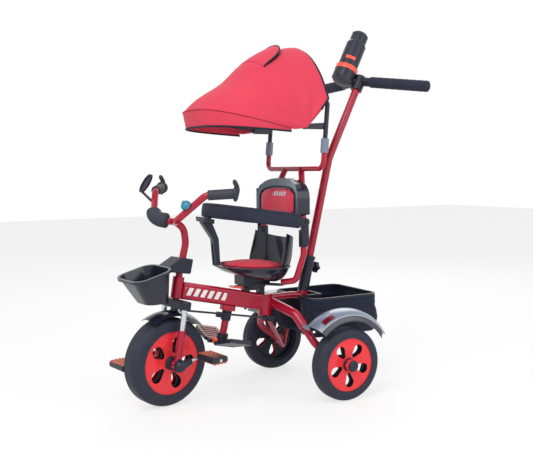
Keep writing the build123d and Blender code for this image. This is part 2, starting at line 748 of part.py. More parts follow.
with BuildPart() as clamp_knob:
    knob_face = -26 - gap
    rod_between(places(bar, (-push_radius - gap, 0, knob_level), (knob_face, 0, knob_level)), knob_screw)
    with BuildSketch(Plane(origin=places(bar, (knob_face, 0, knob_level))[0], z_dir=bar.x_dir * -1, x_dir=bar.y_dir)):
        Circle(knob_radius - 4)
        with PolarLocations(knob_radius - 5, 5):
            Circle(5)
    extrude(amount=14)
finish(clamp_knob.part, "clamp_knob")

upper_up = (Vector(push_top) - Vector(push_bend)).normalized()
hub_centre = Vector(push_top)
handle_sweep = 11.0
arm_length = 252.0
arm_radius = 9.0
handle_grip_radius = 17.5
grip_from = {1: 42.0, -1: 84.0}  # where each grip starts: the right one clears the bottle ring
bottle_offset = (41, -36)  # from the bar, forward and to the left
bottle_radius = 33.0
ring_wall = 3.5
ring_height = 46.0


def upper(x, y, z):
    """A point by its place ahead of, beside and along the upper bar, from the hub."""
    ahead = Vector(upper_up.Z, 0, -upper_up.X)
    return hub_centre + ahead * x + Vector(0, y, 0) + upper_up * z


with BuildPart() as push_bar:
    tube(places(bar, (0, 0, push_low), push_bend, push_top), 60, push_radius, wall=tube_wall)
finish(push_bar.part, "push_bar")

arm_back = -arm_length * sin(radians(handle_sweep))
arm_side = arm_length * cos(radians(handle_sweep))
bottle_low = 8.0
with BuildPart() as handle_hub:
    rod_between(places(bar, upper(0, 0, -34), upper(0, 0, 16)), 19)
    for side in (1, -1):
        rod_between(places(bar, upper(0, 0, 0), upper(arm_back, side * arm_side, 0)), arm_radius)
        share = grip_from[side] / arm_length
        rod_between(places(bar, upper(0, 0, 0), upper(arm_back * share, side * arm_side * share, 0)), 15)
    x, y = bottle_offset
    rod_between(places(bar, upper(0, 0, -8), upper(x, y, -8)), 12)
    rod_between(places(bar, upper(x, y, -18), upper(x, y, -18 + ring_height)), bottle_radius + ring_wall + gap)
    rod_between(places(bar, upper(x, y, -14), upper(x, y, ring_height)), bottle_radius + gap, mode=Mode.SUBTRACT)
    rod_between(places(bar, upper(0, 0, -70), upper(0, 0, 0)), push_radius + running, mode=Mode.SUBTRACT)
finish(handle_hub.part, "handle_hub")

with BuildPart() as handle_grips:
    for side in (1, -1):
        start_share = (grip_from[side] + joint_gap) / arm_length
        route = places(
            bar,
            upper(arm_back * start_share, side * arm_side * start_share, 0),
            upper(arm_back, side * arm_side, 0),
        )
        rod_between(route, handle_grip_radius)
        rod_between(route, arm_radius + running, mode=Mode.SUBTRACT)
finish(handle_grips.part, "handle_grips")

bottle_length = 172.0
with BuildPart() as bottle:
    x, y = bottle_offset
    bottle_base = places(bar, upper(x, y, -14 + gap))[0]
    bottle_axis = places(bar, upper_up)[0] - bar.origin
    bottle_plane = Plane(origin=bottle_base, x_dir=bar.x_dir, z_dir=bottle_axis)
    with BuildSketch(section_plane(bottle_plane)):
        with BuildLine():
            dome = RadiusArc((0, 0), (bottle_radius, 22), -30)
            Polyline(
                dome @ 1, (bottle_radius, 128), (bottle_radius - 5, 136), (bottle_radius - 5, 166),
                (bottle_radius - 10, bottle_length), (0, bottle_length), (0, 0),
            )
        make_face()
    revolve(axis=Axis(bottle_plane.origin, bottle_plane.z_dir))
finish(bottle.part, "bottle")

# ---- seat ------------------------------------------------------------------------------
swivel_x = 195.0
base_z = 326.0
base_thickness = 9.0
base_radius = 34.0
swivel_pin = 8.0
turn_z = base_z + base_thickness + gap
turn_thickness = 5.0
bowl_levels = ((356, 70, 13.0), (373, 103, 7.0), (396, 117, 2.0))  # height, radius and tilt
seat_wall = 3.5
lever_pin = (239, 329.5)  # x and z of the swivel lever's hinge
lever_pin_radius = 2.5
lever_half = 14.0

with BuildPart() as seat_base:
    with BuildSketch(Plane.XZ.offset(-12)):
        for rear, front in ((158, 176), (210, 228)):
            Polygon(
                (rear, beam_edge(rear, 1)), (front, beam_edge(front, 1)), (front, base_z), (rear, base_z),
                align=None,
            )
    extrude(amount=24)
    rod_between([(swivel_x, 0, base_z), (swivel_x, 0, base_z + base_thickness)], base_radius)
    rod_between([(swivel_x, 0, base_z - 8), (swivel_x, 0, base_z)], 14)
    # The plate over the legs, and the lug and pin of the swivel lever.
    with BuildSketch(Plane.XY.offset(base_z)):
        with Locations((193, 0)):
            RectangleRounded(78, 30, 6)
    extrude(amount=base_thickness)
    with BuildSketch(Plane.XZ.offset(-4)):
        Polygon((220, base_z), (lever_pin[0], lever_pin[1] - 4), (lever_pin[0], lever_pin[1] + 4), (220, 334), align=None)
        with Locations(lever_pin):
            Circle(4)
    extrude(amount=8)
    rod_between([(lever_pin[0], -lever_half, lever_pin[1]), (lever_pin[0], lever_half, lever_pin[1])], lever_pin_radius)
    rod_between(
        [(swivel_x, 0, base_z - 8), (swivel_x, 0, base_z + base_thickness)], swivel_pin + running, mode=Mode.SUBTRACT
    )
finish(seat_base.part, "seat_base")

side_start = (134, 76, 345.5)
side_low = (106, 112, 353)
side_rise = (84, 122, 430)
side_shoulder = (84, 122, 520)
yoke_z = 688.0
side_top = (45, 48, yoke_z)
yoke_half = 165.0
yoke_top = 740.0
post_lean = 0.085  # the posts lean back this much for each unit of rise


def post_x(z):
    """Where the canopy's posts stand at a height."""
    return 42 - (z - yoke_z) * post_lean


def bowl_plane(level, lift=0.0):
    """The tilted plane of one level of the seat's bowl."""
    z, _, tilt = level
    return Plane(
        origin=(swivel_x, 0, z + lift),
        x_dir=(cos(radians(tilt)), 0, sin(radians(tilt))),
        z_dir=(-sin(radians(tilt)), 0, cos(radians(tilt))),
    )


def bowl_sections(inset, lift):
    """The bowl's levels, drawn in and with the lowest one lifted."""
    sections = []
    for level, share in zip(bowl_levels, (1, 0, 0)):
        with BuildSketch(bowl_plane(level, lift * share), mode=Mode.PRIVATE) as made:
            Circle(level[1] - inset)
        sections.append(made.sketch)
    return sections


arm_reach = 91.0
arm_angle = 128.7  # the arms point back and out to the feet of the backrest's uprights
housing_half = 30.0
housing_rear = -46.0
housing_front = 46.0
with BuildPart() as seat_turntable:
    with BuildSketch(Plane.XY.offset(turn_z)):
        with Locations((swivel_x, 0)):
            Circle(base_radius + 4)
        for side in (1, -1):
            with Locations(Location((swivel_x, 0, 0), (0, 0, side * arm_angle))):
                with Locations((arm_reach / 2, 0)):
                    SlotCenterToCenter(arm_reach, 24)
    extrude(amount=turn_thickness)
    for side in (1, -1):
        foot_ends = [(x, side * y, z) for x, y, z in (side_start, side_low)]
        rod_between(foot_ends, seat_tube_radius + joint_gap, mode=Mode.SUBTRACT)
    # A housing fills the wedge up to the bowl's tilted bottom.
    with BuildSketch(Plane.XZ):
        rise = tan(radians(bowl_levels[0][2]))
        Polygon(
            (swivel_x + housing_rear, turn_z), (swivel_x + housing_front, turn_z),
            (swivel_x + housing_front, bowl_levels[0][0] + housing_front * rise),
            (swivel_x + housing_rear, bowl_levels[0][0] + housing_rear * rise),
            align=None,
        )
    extrude(amount=housing_half, both=True)
    rod_between([(swivel_x, 0, base_z - 8), (swivel_x, 0, turn_z)], swivel_pin)
finish(seat_turntable.part, "seat_turntable")

# The bucket's back: a wall that grows out of the bowl and ends in a wing on each side.
bucket_levels = ((366, 103, 103, 2.0), (400, 113, 107, 2.5), (450, 114, 104, 3.4), (500, 114, 104, 4.0))
bucket_wall = 4.0
bucket_points = 24


def bucket_section(level, inset):
    """One level of the bucket: its height, half length, half width and squareness."""
    z, half_length, half_width, squareness = level
    outline = []
    for step in range(bucket_points):
        turn = 2 * pi * step / bucket_points
        along, across = cos(turn), sin(turn)
        outline.append((
            copysign(abs(along) ** (2 / squareness), along) * (half_length - inset),
            copysign(abs(across) ** (2 / squareness), across) * (half_width - inset),
        ))
    with BuildSketch(Plane(origin=(swivel_x, 0, z)), mode=Mode.PRIVATE) as made:
        with BuildLine():
            Spline(*outline, periodic=True)
        make_face()
    return made.sketch


with BuildPart() as bucket_back:
    loft([bucket_section(level, 0) for level in bucket_levels])
    loft([bucket_section(level, bucket_wall) for level in bucket_levels], mode=Mode.SUBTRACT)
    with BuildSketch(Plane.XZ):
        Polygon((70, 372), (152, 392), (146, 420), (128, 494), (102, 484), (70, 470), align=None)
    extrude(amount=200, both=True, mode=Mode.INTERSECT)

with BuildPart() as seat_shell:
    loft(bowl_sections(0, 0))
    with BuildSketch(bowl_plane(bowl_levels[-1])):
        Circle(bowl_levels[-1][1] + 2)
    extrude(amount=-4)
    loft(bowl_sections(seat_wall, seat_wall), mode=Mode.SUBTRACT)
    add(bucket_back.part)
finish(seat_shell.part, "seat_shell")

cushion_radius = 97.0
cushion_height = 13.0  # above the bowl's rim
with BuildPart() as seat_cushion:
    loft(bowl_sections(seat_wall + soft_gap, seat_wall + soft_gap))
    with BuildSketch(bowl_plane(bowl_levels[-1])):
        Circle(cushion_radius)
    extrude(amount=-80, mode=Mode.INTERSECT)
    with BuildSketch(bowl_plane(bowl_levels[-1])):
        Circle(cushion_radius)
    extrude(amount=cushion_height)
    fillet(seat_cushion.faces().sort_by(Axis.Z)[-1].edges(), 7)
finish(seat_cushion.part, "seat_cushion")

back_curve = 480.0  # radius of the backrest's hollow, seen from above
back_x = 92.0  # the shell's front on its middle line
back_rear = 64.0  # the rear edge of the shell's rim
back_wall = 4.0
back_low = 540.0
back_side = 597.0  # where its sides turn into the arched top
back_high = 660.0
back_half = 126.0
pad_half = 108.0
pad_thickness = 14.0
pad_margin = 25.0  # the shell's rim above the pad
back_points = 14


def back_block(rear, forward, half, low, side, high, squareness):
    """A block with a flat rear, a hollow front and an arched top; forward is from the shell's front."""
    crest = []
    for step in range(back_points + 1):
        turn = pi * step / back_points
        across, rise = cos(turn), sin(turn)
        crest.append((
            half * copysign(abs(across) ** (2 / squareness), across),
            side + (high - side) * rise ** (2 / squareness),
        ))
    with BuildPart() as block:
        with BuildSketch(Plane.YZ.offset(rear)):
            with BuildLine():
                Spline(*crest, tangents=((0, 1), (0, -1)))
                Polyline(crest[-1], (-half, low + 14), (14 - half, low), (half - 14, low), (half, low + 14), crest[0])
            make_face()
        extrude(amount=back_x + 60 - rear)
        with BuildSketch(Plane.XY.offset(low - 1)):
            with Locations((back_x + back_curve, 0)):
                Circle(back_curve - forward)
        extrude(amount=high - low + 2, mode=Mode.SUBTRACT)
    return block.part


side_route = [side_start, side_low, side_rise, side_shoulder, side_top]
side_bends = [20, 50, 60]
shell_outer = back_block(back_rear, 0, back_half, back_low, back_side, back_high, 2.5)
shell_inner = back_block(
    back_rear - 1, -back_wall, back_half - back_wall, back_low - 30, back_side, back_high - back_wall, 2.5
)
pad_outer = back_block(
    back_rear, pad_thickness, pad_half, back_low + 5, back_side, back_high - pad_margin, 3.2
)
pad_seat = back_block(back_rear - 1, soft_gap, 2 * back_half, back_low - 5, back_side, back_high + 20, 2.5)
with BuildPart() as backrest_shell:
    add(shell_outer)
    add(shell_inner, mode=Mode.SUBTRACT)
    # Bosses on its back reach the frame's uprights.
    for side in (1, -1):
        for z in (560, 598):
            share = (z - side_shoulder[2]) / (side_top[2] - side_shoulder[2])
            y = side_shoulder[1] + share * (side_top[1] - side_shoulder[1])
            x = side_shoulder[0] + share * (side_top[0] - side_shoulder[0])
            face = back_x + back_curve - (back_curve**2 - y**2) ** 0.5
            rod_between([(x, side * y, z), (face - back_wall / 2, side * y, z)], 5)
        points = [(x, side * y, z) for x, y, z in side_route]
        tube(points, side_bends, seat_tube_radius + joint_gap, mode=Mode.SUBTRACT)
finish(backrest_shell.part, "backrest_shell")

with BuildPart() as backrest_pad:
    add(pad_outer)
    add(pad_seat, mode=Mode.SUBTRACT)
finish(backrest_pad.part, "backrest_pad")

with BuildPart() as backrest_frame:
    sides = []
    for side in (1, -1):
        points = [(x, side * y, z) for x, y, z in side_route]
        sides.append(points)
        tube(points, side_bends, seat_tube_radius)
    yoke = [
        (post_x(yoke_top), yoke_half, yoke_top), (post_x(yoke_z), yoke_half, yoke_z),
        (post_x(yoke_z), -yoke_half, yoke_z), (post_x(yoke_top), -yoke_half, yoke_top),
    ]
    tube(yoke, [24, 24], canopy_tube_radius)
    for points in sides:
        tube(points, side_bends, seat_tube_radius - tube_wall, mode=Mode.SUBTRACT)
    tube(yoke, [24, 24], canopy_tube_radius - tube_wall, mode=Mode.SUBTRACT)
finish(backrest_frame.part, "backrest_frame")

# Clamps on the uprights: each carries an ear for the guard ring's pivot.
guard_pivot = (88, 530)  # x and z of the ring's hinge line
ear_in = 132.0
ear_wall = 6.0
tongue_wall = 6.0
guard_pin = 4.0
upright_y = side_rise[1]
with BuildPart() as guard_sockets:
    for side in (1, -1):
        rod_between([(84, side * upright_y, 455), (84, side * upright_y, 505)], 14.5)
        with BuildSketch(Plane.XZ.offset(-side * ear_in)):
            Polygon((74, 462), (98, 462), (100, 530), (76, 530), align=None)
            with Locations(guard_pivot):
                Circle(12)
        extrude(amount=-side * ear_wall)
        pin_from, pin_to = side * ear_in, side * (ear_in + ear_wall + gap + tongue_wall + 3)
        rod_between([(guard_pivot[0], pin_from, guard_pivot[1]), (guard_pivot[0], pin_to, guard_pivot[1])], guard_pin)
        rod_between(
            [(84, side * upright_y, 450), (84, side * upright_y, 510)], seat_tube_radius + running,
            mode=Mode.SUBTRACT,
        )
finish(guard_sockets.part, "guard_sockets")

# Guard ring: a padded U that slopes up to the front, hinged at its two rear tongues.
ring_slope = 8.5
ring_half = 140.0
ring_band = 43.0
ring_thickness = 20.0
ring_start = 18.0  # from the pivot to the padding
ring_straight = 112.0
ring_plane = Plane(
    origin=(guard_pivot[0], 0, guard_pivot[1]),
    x_dir=(cos(radians(ring_slope)), 0, sin(radians(ring_slope))),
    z_dir=(-sin(radians(ring_slope)), 0, cos(radians(ring_slope))),
)
with BuildPart(ring_plane) as guard_ring:
    with BuildSketch(ring_plane.offset(-ring_band / 2)):
        for inset, mode in ((-ring_thickness / 2, Mode.ADD), (ring_thickness / 2, Mode.SUBTRACT)):
            with Locations((ring_straight, 0)):
                Circle(ring_half - inset, mode=mode)
            with Locations((ring_straight / 2, 0)):
                Rectangle(ring_straight, 2 * (ring_half - inset), mode=mode)
        with Locations((ring_start / 2 - 20, 0)):
            Rectangle(ring_start + 40, 4 * ring_half, mode=Mode.SUBTRACT)
        with Locations((ring_straight / 2, 0)):
            Rectangle(ring_straight, 2 * (ring_half - ring_thickness / 2), mode=Mode.SUBTRACT)
    extrude(amount=ring_band)
    rims = guard_ring.faces().filter_by(Axis(ring_plane.origin, ring_plane.z_dir)).edges()
    fillet(rims, 6)
    for side in (1, -1):
        tongue_y = ear_in + ear_wall + gap
        with BuildSketch(Plane(ring_plane.origin + Vector(0, side * tongue_y, 0), ring_plane.x_dir, (0, -side, 0))):
            with Locations((ring_start / 2 + 4, 0)):
                Rectangle(ring_start + 8, 24)
            Circle(12)
            Circle(guard_pin + running, mode=Mode.SUBTRACT)
        extrude(amount=-tongue_wall)
finish(guard_ring.part, "guard_ring")

# Crotch post: from under the ring's front down to the seat.
ring_foot = ring_plane.from_local_coords((ring_straight + ring_half, 0, -ring_band / 2))
post_x0, post_z0 = ring_foot.X, ring_foot.Z
post_foot = bowl_levels[-1][0] + 6
with BuildPart() as crotch_post:
    with BuildSketch(Plane.XZ):
        Polygon(
            (post_x0 - 4, post_z0 - 1), (post_x0 + 28, post_z0 + 3), (post_x0 + 24, post_z0 - 16),
            (post_x0 - 10, post_z0 - 66), (324, post_foot), (308, post_foot), (post_x0 - 28, post_z0 - 64),
            (post_x0 - 6, post_z0 - 14),
            align=None,
        )
    extrude(amount=11, both=True)
    with BuildSketch(Plane.XZ):
        Polygon(
            (post_x0 - 6, post_z0 - 5), (post_x0 + 28, post_z0 + 3), (post_x0 + 26, post_z0 - 11),
            (post_x0 - 5, post_z0 - 18),
            align=None,
        )
    extrude(amount=30, both=True)
    with BuildSketch(Plane.XZ):
        Polygon((300, 395), (332, 395), (332, 466), (300, 466), align=None)
    extrude(amount=4.5, both=True, mode=Mode.SUBTRACT)
finish(crotch_post.part, "crotch_post")

# Swivel lever: two knuckles on the base's pin, joined by the paddle that the parent presses.
with BuildPart() as swivel_lever:
    for side in (1, -1):
        with BuildSketch(Plane.XZ.offset(-side * (4 + gap))):
            with Locations(lever_pin):
                Circle(5)
            Polygon(
                (lever_pin[0], lever_pin[1] - 4), (lever_pin[0] + 10, lever_pin[1] - 2),
                (lever_pin[0] + 10, lever_pin[1] + 4), (lever_pin[0], lever_pin[1] + 4.5),
                align=None,
            )
            with Locations(lever_pin):
                Circle(lever_pin_radius + running, mode=Mode.SUBTRACT)
        extrude(amount=-side * (lever_half - 4 - gap))
    with BuildSketch(Plane.XZ):
        Polygon(
            (lever_pin[0] + 6.5, lever_pin[1] - 3), (lever_pin[0] + 10, lever_pin[1] - 2),
            (lever_pin[0] + 30, lever_pin[1] + 1.3), (lever_pin[0] + 29, lever_pin[1] + 5.3),
            (lever_pin[0] + 8, lever_pin[1] + 4.5),
            align=None,
        )
    extrude(amount=lever_half, both=True)
finish(swivel_lever.part, "swivel_lever")

# ---- canopy ------------------------------------------------------------------------------
hinge_x = 95.0
hinge_z = 811.0
sleeve_radius = 12.0
post_radius = 7.0
bow_radius = 3.5
arm_y = 159.0  # inner face of the arm that carries the hinge pin
arm_wall = 5.0
eye_wall = 7.0
eye_radius = 8.0
canopy_pin = 3.5
post_top = 890.0


def on_posts(z, side):
    return (post_x(z), side * yoke_half, z)


with BuildPart() as canopy_sleeves:
    for side in (1, -1):
        ends = [Vector(*on_posts(yoke_top - 6, side)), Vector(*on_posts(776, side))]
        rod_between(ends, sleeve_radius)
        up = (ends[1] - ends[0]).normalized()
        middle = Vector(*on_posts(yoke_top, side))
        rod_between([ends[0] - up * 2, middle], canopy_tube_radius + running, mode=Mode.SUBTRACT)
        rod_between([middle, ends[1] + up * 2], post_radius + running, mode=Mode.SUBTRACT)
finish(canopy_sleeves.part, "canopy_sleeves")

cloth = 2.0
post_top = 880.0
arch_from = 12.0  # degrees round the arch's oval at which the tube starts
# The hood's ribs, from the rear arch round to the brim. Each spans the hood in a plane of its own:
# the foot's x and z, the plane's rise in degrees, and the rib's reach, half width and squareness.
ribs = (
    (15.5, 826.5, 83.1, 230, 173, 2.0), (55, 817, 85.1, 245, 173, 2.05), (92, 808, 64, 234, 171, 2.15),
    (118, 804, 44, 216, 169, 2.3), (138, 802, 25, 234.5, 167, 2.5), (149, 804, 12.6, 255, 165, 2.8),
)
rim_rib = (149, 796, 3.5, 234, 164, 3.0)  # the lower edge of the band below the brim


def rib_plane(rib):
    """A rib's plane: x runs to the left, y from the foot to the rib's crest."""
    rise = radians(rib[2])
    return Plane(origin=(rib[0], 0, rib[1]), x_dir=(0, 1, 0), z_dir=(sin(rise), 0, -cos(rise)))


arch_plane = rib_plane(ribs[0])
arch_height = ribs[0][3]
arch_half = ribs[0][4]

with BuildPart() as canopy_posts:
    drawn_in = cloth + soft_gap + bow_radius + 1.7
    with BuildLine(arch_plane):
        arch = EllipticalCenterArc(
            (0, 0), arch_half - drawn_in, arch_height - drawn_in,
            start_angle=arch_from, arc_size=180 - 2 * arch_from,
        )
    with BuildSketch(Plane(origin=arch @ 0, z_dir=arch % 0)):
        Circle(bow_radius + 1)
    sweep(path=arch)
    for side in (1, -1):
        rod_between([on_posts(yoke_top + gap, side), on_posts(post_top, side)], post_radius)
        with BuildSketch(Plane.XZ.offset(-side * arm_y)):
            Polygon(
                (post_x(hinge_z), hinge_z - 8), (hinge_x, hinge_z - 8), (hinge_x, hinge_z + 8),
                (post_x(hinge_z), hinge_z + 12), align=None,
            )
            with Locations((hinge_x, hinge_z)):
                Circle(eye_radius)
        extrude(amount=-side * arm_wall)
        pin_end = side * (arm_y - 2 * (eye_wall + gap) - 2)
        rod_between([(hinge_x, side * arm_y, hinge_z), (hinge_x, pin_end, hinge_z)], canopy_pin)
finish(canopy_posts.part, "canopy_posts")


def bow(route, bends, eye_y):
    """A wire bow with a flat eye at each end, round the canopy's hinge pins."""
    with BuildPart() as made:
        tube(route, bends, bow_radius)
        for side in (1, -1):
            inner, outer = side * eye_y, side * (eye_y - eye_wall)
            rod_between([(hinge_x, inner, hinge_z), (hinge_x, outer, hinge_z)], eye_radius)
            rod_between([(hinge_x, inner, hinge_z), (hinge_x, outer, hinge_z)], canopy_pin + running, mode=Mode.SUBTRACT)
    return made.part


front_eye = arm_y - gap
middle_eye = front_eye - eye_wall - gap
front_y = front_eye - eye_wall / 2


def bow_point(angle, reach, y):
    """A point in a bow's plane, by its reach from the hinge line."""
    return (hinge_x + reach * cos(radians(angle)), y, hinge_z + reach * sin(radians(angle)))


front_angle = 9.0
front_half = [
    bow_point(front_angle, 4, front_y), bow_point(front_angle, 175, 149),
    bow_point(front_angle, 253, 114), bow_point(front_angle, 285, 50),
]
front_route = front_half + [mirrored(point) for point in reversed(front_half)]
finish(bow(front_route, [120, 70, 50, 50, 70, 120], front_eye), "canopy_front_bow")

middle_angle = 44.0
middle_y = middle_eye - eye_wall / 2

middle_half = [
    bow_point(middle_angle, 4, middle_y), bow_point(middle_angle, 110, 143),
    bow_point(middle_angle, 176, 106), bow_point(middle_angle, 210, 38),
]
middle_route = middle_half + [mirrored(point) for point in reversed(middle_half)]
finish(bow(middle_route, [90, 70, 60, 60, 70, 90], middle_eye), "canopy_mid_bow")

# The cloth: a hood lofted over its ribs, with a band below the brim, open below and behind.
rib_points = 8  # on each half of a rib


def rib_face(rib, inset):
    """A rib's outline filled in, drawn in all round by an inset."""
    reach, half, squareness = rib[3] - inset, rib[4] - inset, rib[5]
    outline = []
    for step in range(2 * rib_points + 1):
        turn = radians(90 * step / rib_points)
        across = abs(cos(turn)) ** (2 / squareness) * (1 if step < rib_points else -1)
        outline.append((half * across, reach * sin(turn) ** (2 / squareness)))
    outline[-1] = (-half, 0)
    with BuildSketch(rib_plane(rib), mode=Mode.PRIVATE) as made:
        with BuildLine():
            Spline(*outline, tangents=[(0, 1), (0, -1)])
            Line((-half, 0), (half, 0))
        make_face()
    return made.sketch


with BuildPart() as canopy_fabric:
    loft([rib_face(rib, 0) for rib in ribs])
    loft([rib_face(ribs[-1], 0), rib_face(rim_rib, 0)])
    loft([rib_face(rib, cloth) for rib in ribs], mode=Mode.SUBTRACT)
    loft([rib_face(ribs[-1], cloth), rib_face(rim_rib, cloth)], mode=Mode.SUBTRACT)
    # The rear lower corners run from the hinges up to the posts' tops.
    with BuildSketch(Plane.XZ):
        Polygon((hinge_x + 4, hinge_z - 2), (-30, 954), (-30, 780), (hinge_x + 4, 780), align=None)
    extrude(amount=200, both=True, mode=Mode.SUBTRACT)
finish(canopy_fabric.part, "canopy_fabric")

# ---- footrest --------------------------------------------------------------------------------
clamp_radius = 15.0
clamp_length = 30.0
stem_top = -3.0
stem_bottom = -120.0
hub_top = -84.0
hub_bottom = -121.0
hinge_y = 24.0
hinge_low = -114.0
hinge_pin = 3.0
hinge_outer = 7.0
lug_half = 15.0
plate_tilt = 14.5
plate_half_length = 37.0
plate_from = 9.0
plate_to = 104.0
plate_thickness = 12.0

clamp_top = -bracket_depth - gap
with BuildPart() as footrest_clamp:
    rod_between(places(foot, (0, 0, clamp_top), (0, 0, clamp_top - clamp_length)), clamp_radius)
    with BuildSketch(foot.offset(clamp_top - clamp_length + 6)):
        with Locations((clamp_radius + 6, 0)):
            RectangleRounded(26, 12, 4)
    extrude(amount=16)
    rod_between(
        places(foot, (0, 0, clamp_top), (0, 0, clamp_top - clamp_length)), foot_tube_radius + running,
        mode=Mode.SUBTRACT,
    )
finish(footrest_clamp.part, "footrest_clamp")

with BuildPart() as footrest_stem:
    stem_ends = places(foot, (0, 0, stem_top), (0, 0, stem_bottom))
    rod_between(stem_ends, foot_tube_radius)
    rod_between(stem_ends, foot_tube_radius - tube_wall, mode=Mode.SUBTRACT)
finish(footrest_stem.part, "footrest_stem")

with BuildPart() as footrest_hub:
    rod_between(places(foot, (0, 0, hub_top), (0, 0, hub_bottom)), 17)
    for side in (1, -1):
        y = side * hinge_y
        rod_between(places(foot, (-lug_half, y, hinge_low), (lug_half, y, hinge_low)), hinge_outer)
        with BuildSketch(foot.offset(hinge_low - 5)):
            with Locations((0, side * 12)):
                Rectangle(2 * lug_half, 14)
        extrude(amount=12)
        rod_between(
            places(foot, (-lug_half, y, hinge_low), (lug_half, y, hinge_low)), hinge_pin + running,
            mode=Mode.SUBTRACT,
        )
    rod_between(places(foot, (0, 0, hub_top), (0, 0, stem_bottom)), foot_tube_radius + running, mode=Mode.SUBTRACT)
finish(footrest_hub.part, "footrest_hub")

for name, side in (("left", 1), ("right", -1)):
    hinge_centre = places(foot, (0, side * hinge_y, hinge_low))[0]
    outward = places(foot, (0, side * cos(radians(plate_tilt)), sin(radians(plate_tilt))))[0] - foot.origin
    plate = Plane(origin=hinge_centre, x_dir=foot.x_dir, z_dir=foot.x_dir.cross(outward))
    lift = 1 if side == 1 else -1
    with BuildPart(plate) as foot_plate:
        with BuildSketch(plate.offset(-plate_thickness / 2)):
            with Locations((0, (plate_from + plate_to) / 2)):
                RectangleRounded(2 * plate_half_length, plate_to - plate_from, 10)
        extrude(amount=plate_thickness)
        with BuildSketch(plate.offset(lift * plate_thickness / 2)):
            with Locations((0, (plate_from + plate_to) / 2)):
                with GridLocations(0, 15, 1, 5):
                    SlotOverall(2 * plate_half_length - 16, 7)
        extrude(amount=lift * 1.6)
        for end in (1, -1):
            inner, outer = end * (lug_half + gap), end * (plate_half_length - 4)
            rod_between(places(plate, (inner, 0, 0), (outer, 0, 0)), hinge_outer)
            with BuildSketch(plate.offset(-5)):
                with Locations(((inner + outer) / 2, plate_from / 2 + 2)):
                    Rectangle(abs(outer - inner), plate_from + 4)
            extrude(amount=10)
        rod_between(places(plate, (-lug_half - 2, 0, 0), (lug_half + 2, 0, 0)), hinge_pin)
    finish(foot_plate.part, f"foot_plate_{name}")
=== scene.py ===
import json
import math

import bmesh
import bpy
import numpy as np
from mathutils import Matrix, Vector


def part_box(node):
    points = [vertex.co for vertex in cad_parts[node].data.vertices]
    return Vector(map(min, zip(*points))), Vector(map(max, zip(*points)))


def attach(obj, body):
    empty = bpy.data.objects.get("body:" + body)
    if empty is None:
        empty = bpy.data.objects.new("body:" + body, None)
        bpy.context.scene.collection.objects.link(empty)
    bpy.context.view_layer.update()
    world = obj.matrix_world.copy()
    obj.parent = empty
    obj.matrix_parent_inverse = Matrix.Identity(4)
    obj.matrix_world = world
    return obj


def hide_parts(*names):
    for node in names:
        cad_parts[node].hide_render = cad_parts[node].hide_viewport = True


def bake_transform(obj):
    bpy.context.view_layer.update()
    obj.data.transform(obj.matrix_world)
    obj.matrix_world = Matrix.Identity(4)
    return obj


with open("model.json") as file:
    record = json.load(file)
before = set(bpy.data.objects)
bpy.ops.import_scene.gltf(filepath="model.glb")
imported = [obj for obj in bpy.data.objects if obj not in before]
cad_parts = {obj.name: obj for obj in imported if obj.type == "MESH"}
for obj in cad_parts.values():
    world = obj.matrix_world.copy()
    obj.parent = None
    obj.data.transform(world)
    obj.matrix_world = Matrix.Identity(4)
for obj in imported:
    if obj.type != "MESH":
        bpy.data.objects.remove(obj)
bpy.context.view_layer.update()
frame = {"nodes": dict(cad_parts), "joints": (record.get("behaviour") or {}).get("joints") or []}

scene = bpy.context.scene
print("frame loaded:", len(frame["nodes"]), "parts")


# ---- stage: camera, floor and lights

stageSettings = {
    "cameraPlace": (1.29977, 2.05439, 0.68416),
    "cameraTurn": (85.689, 0.493, 150.800),  # degrees about X, Y and Z
    "lens": 51.55,
    "shift": (0.0056, 0.0054),
    "floorColour": (0.9, 0.9, 0.9, 1),
    "floorGlow": 0.72,  # how much of the floor's white is its own where it is looked at
    "worldLight": 0.62,
    "floorDrop": 0.0006,  # below the tyres, so that no two faces lie in one plane
    "floorReach": 9,
    # each lamp's place, power and size
    "lamps": {
        "keyLight": ((1.9, 1.3, 2.6), 52, 1.6),
        "fillLight": ((-1.2, 2.6, 1.6), 22, 2.2),
        "rimLight": ((-1.4, -1.8, 2.2), 26, 1.8),
    },
}


def aimedLight(name, place, power, size, target=(0.1, 0, 0.5)):
    # An area light that faces the target.
    lamp = bpy.data.lights.new(name, "AREA")
    lamp.energy, lamp.size = power, size
    made = bpy.data.objects.new(name, lamp)
    scene.collection.objects.link(made)
    way = np.subtract(target, place)
    made.location = place
    made.rotation_euler = (
        math.atan2(math.hypot(way[0], way[1]), -way[2]), 0, math.atan2(-way[0], way[1]))


class Value:
    # Wraps one socket, so that shader maths reads as plain expressions.
    def __init__(self, tree, socket):
        self.tree, self.socket = tree, socket

    def join(self, operation, other=None, flipped=False):
        made = self.tree.nodes.new("ShaderNodeMath")
        made.operation = operation
        pair = (other, self) if flipped else (self, other)
        for entry, given in zip(made.inputs, pair):
            if isinstance(given, Value):
                self.tree.links.new(given.socket, entry)
            elif given is not None:
                entry.default_value = given
        return Value(self.tree, made.outputs[0])

    def __add__(self, other):
        return self.join("ADD", other)

    def __sub__(self, other):
        return self.join("SUBTRACT", other)

    def __rsub__(self, other):
        return self.join("SUBTRACT", other, True)

    def __mul__(self, other):
        return self.join("MULTIPLY", other)

    def __truediv__(self, other):
        return self.join("DIVIDE", other)

    def __gt__(self, other):
        return self.join("GREATER_THAN", other)

    __radd__, __rmul__ = __add__, __mul__


def addNode(tree, kind, settings=None, inputs=None, output=0):
    made = tree.nodes.new("ShaderNode" + kind)
    for key, given in (settings or {}).items():
        setattr(made, key, given)
    for key, given in (inputs or {}).items():
        if isinstance(given, Value):
            tree.links.new(given.socket, made.inputs[key])
        else:
            made.inputs[key].default_value = given
    return Value(tree, made.outputs[output])


